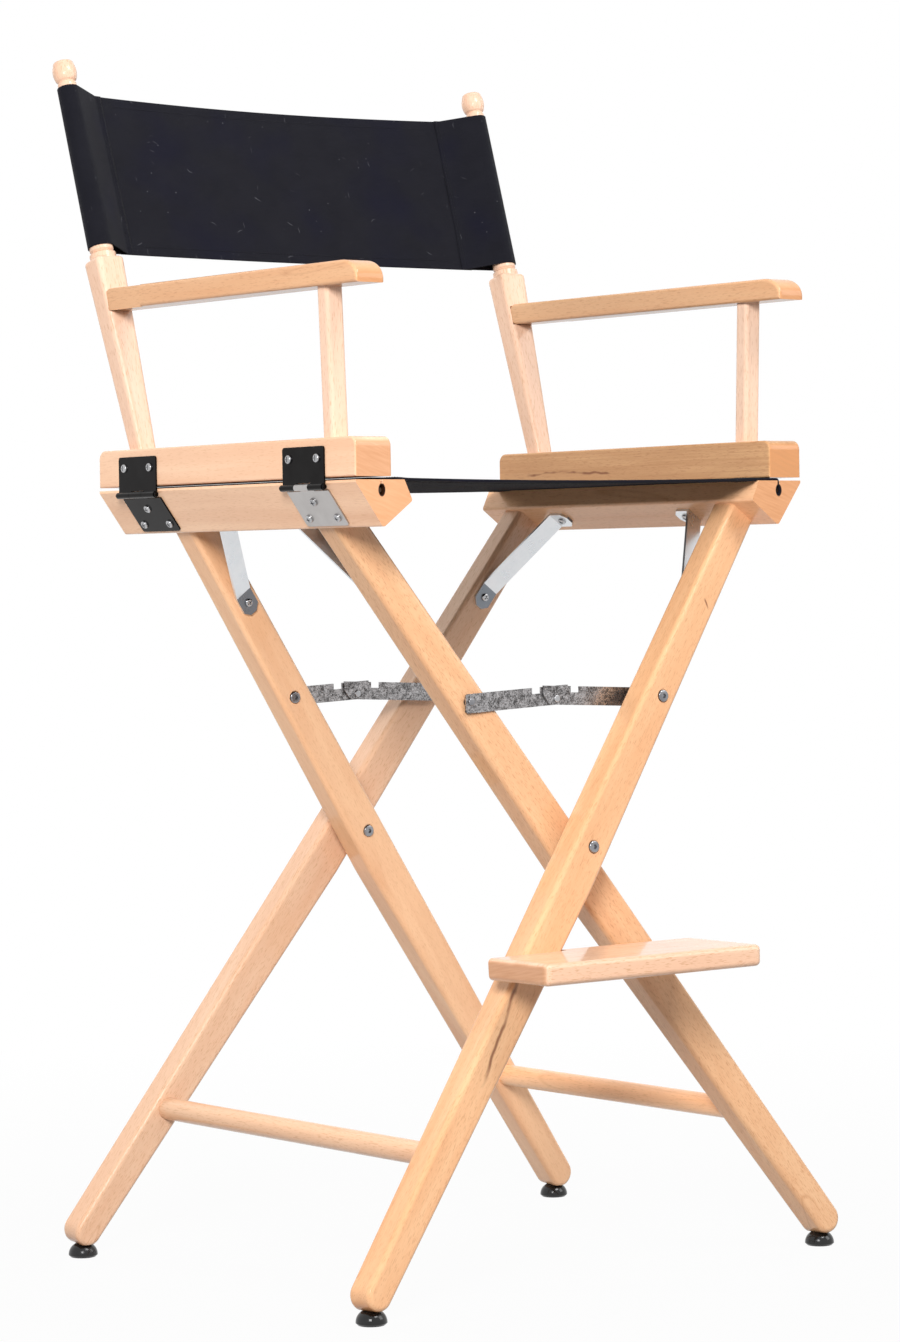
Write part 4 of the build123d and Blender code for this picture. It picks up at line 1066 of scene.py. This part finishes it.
def sleeve_seams(way, heights):
    """Runs of stitches beside a sleeve's seam: on the sleeve in front, on the web behind."""
    runs = []
    for beside in sleeve_seams_beside:
        front_run = []
        rear_run = []
        for height in heights[sleeve_seam_rows]:
            x = post_axis_x(height) - back_seam - beside
            web = web_offset(x, height)
            front = web - sleeve_face
            rear = web + back_thickness(height)[1]
            front_run.append((back_point(way * x, front, height), -back_normal))
            rear_run.append((back_point(way * x, rear, height), back_normal))
        runs += [front_run, rear_run]
    return runs


def make_sleeve(hand, way, cloth, yarn):
    """A pocket over one dowel, stitched to the web beside it."""
    heights = back_heights()
    outer, inner, uvs = sleeve_grids(way, heights)
    sleeve = closed_sheet(f"{hand}_sleeve", outer, inner, uvs, cloth, mirrored=way < 0)
    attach(sleeve, f"{hand}_arm")
    seams = stitching(f"{hand}_sleeve_stitching", sleeve_seams(way, heights), yarn)
    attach(seams, f"{hand}_arm")


# Floor and surround: the floor is whiter away from the chair, distances in metres
floor_reach = 40.0
floor_grey = (0.32, 0.32, 0.32, 1)
floor_near = 0.5
floor_far = 1.8
floor_near_white = 0.96
white = (1, 1, 1, 1)
surround_light = 0.09
surround_white = 1.0

# Lamps, all aimed at the chair's middle: place in metres, size in metres, power in watts, mirrored or not
lamp_target = (0, 0, 0.6)
lamps = {
    "key": ((-2.7, -2.6, 2.1), 1.2, 50, True),
    "key_fill": ((-2.7, -2.6, 2.1), 1.2, 130, False),
    "fill": ((2.2, -2.2, 2.0), 1.6, 22, True),
    "top": ((0.3, -1.9, 3.1), 1.2, 46, True),
    "side": ((-2.6, 1.5, 1.6), 1.2, 14, False),
    "rear": ((-0.3, 3.4, 2.2), 1.6, 80, False),
    "right": ((3.3, 0.9, 1.9), 1.6, 60, False),
}


def seen_rays(tree):
    """1 for the rays that show the background: from the camera, mirrored or through glass."""
    path = tree.nodes.new("ShaderNodeLightPath")
    seen = path.outputs["Is Camera Ray"]
    for ray in ("Is Glossy Ray", "Is Transmission Ray"):
        either = tree.nodes.new("ShaderNodeMath")
        either.operation = "MAXIMUM"
        tree.links.new(seen, either.inputs[0])
        tree.links.new(path.outputs[ray], either.inputs[1])
        seen = either.outputs[0]
    return seen


def make_floor():
    """A pale floor that keeps a soft shadow near the chair and runs out into the white background."""
    shader = Shader("floor", Base_Color=floor_grey, Roughness=0.8)
    distance = shader.measure("LENGTH", shader.place())
    whiteness = shader.remap(distance, floor_near, floor_far, to_low=floor_near_white)
    glow = shader.node("Emission", {"Color": white, "Strength": surround_white})
    share = shader.math("MULTIPLY", seen_rays(shader.tree), whiteness)
    blend = shader.node("MixShader", {0: share, 1: shader.main.outputs[0], 2: glow.outputs[0]})
    output = shader.tree.nodes["Material Output"]
    shader.tree.links.new(blend.outputs[0], output.inputs[0])

    low = -floor_reach
    high = floor_reach
    mesh = bpy.data.meshes.new("floor")
    mesh.from_pydata([(low, low, 0), (high, low, 0), (high, high, 0), (low, high, 0)], [], [(0, 1, 2, 3)])
    mesh.materials.append(shader.material)
    floor = bpy.data.objects.new("floor", mesh)
    bpy.context.collection.objects.link(floor)


def soft_box(name, place, size, power, mirrored):
    """A square lamp; one that isn't mirrored only fills, and leaves no highlight."""
    data = bpy.data.lights.new(name, "AREA")
    data.shape = "SQUARE"
    data.size = size
    data.energy = power
    lamp = bpy.data.objects.new(name, data)
    lamp.visible_camera = False
    lamp.visible_glossy = mirrored
    aim = (Vector(lamp_target) - Vector(place)).to_track_quat("-Z", "Y")
    lamp.matrix_world = Matrix.Translation(place) @ aim.to_matrix().to_4x4()
    bpy.context.collection.objects.link(lamp)


def light_studio():
    """Soft studio light: a white surround, a key from the front left, and weaker boxes all round."""
    scene = bpy.context.scene
    world = bpy.data.worlds.new("studio")
    scene.world = world
    world.use_nodes = True
    tree = world.node_tree
    surround = tree.nodes["Background"]
    surround.inputs["Color"].default_value = white
    strength = tree.nodes.new("ShaderNodeMapRange")
    strength.inputs["To Min"].default_value = surround_light
    strength.inputs["To Max"].default_value = surround_white
    tree.links.new(seen_rays(tree), strength.inputs["Value"])
    tree.links.new(strength.outputs[0], surround.inputs["Strength"])
    for name, (place, size, power, mirrored) in lamps.items():
        soft_box(name, place, size, power, mirrored)
    scene.view_settings.view_transform = "Standard"


place_camera()
light_studio()
make_floor()
dress_wood()
dress_fittings()
cloth_material = canvas()
thread_material = thread()
make_seat(cloth_material, thread_material)
make_web(cloth_material, thread_material)
make_sleeve("left", -1, cloth_material, thread_material)
make_sleeve("right", 1, cloth_material, thread_material)
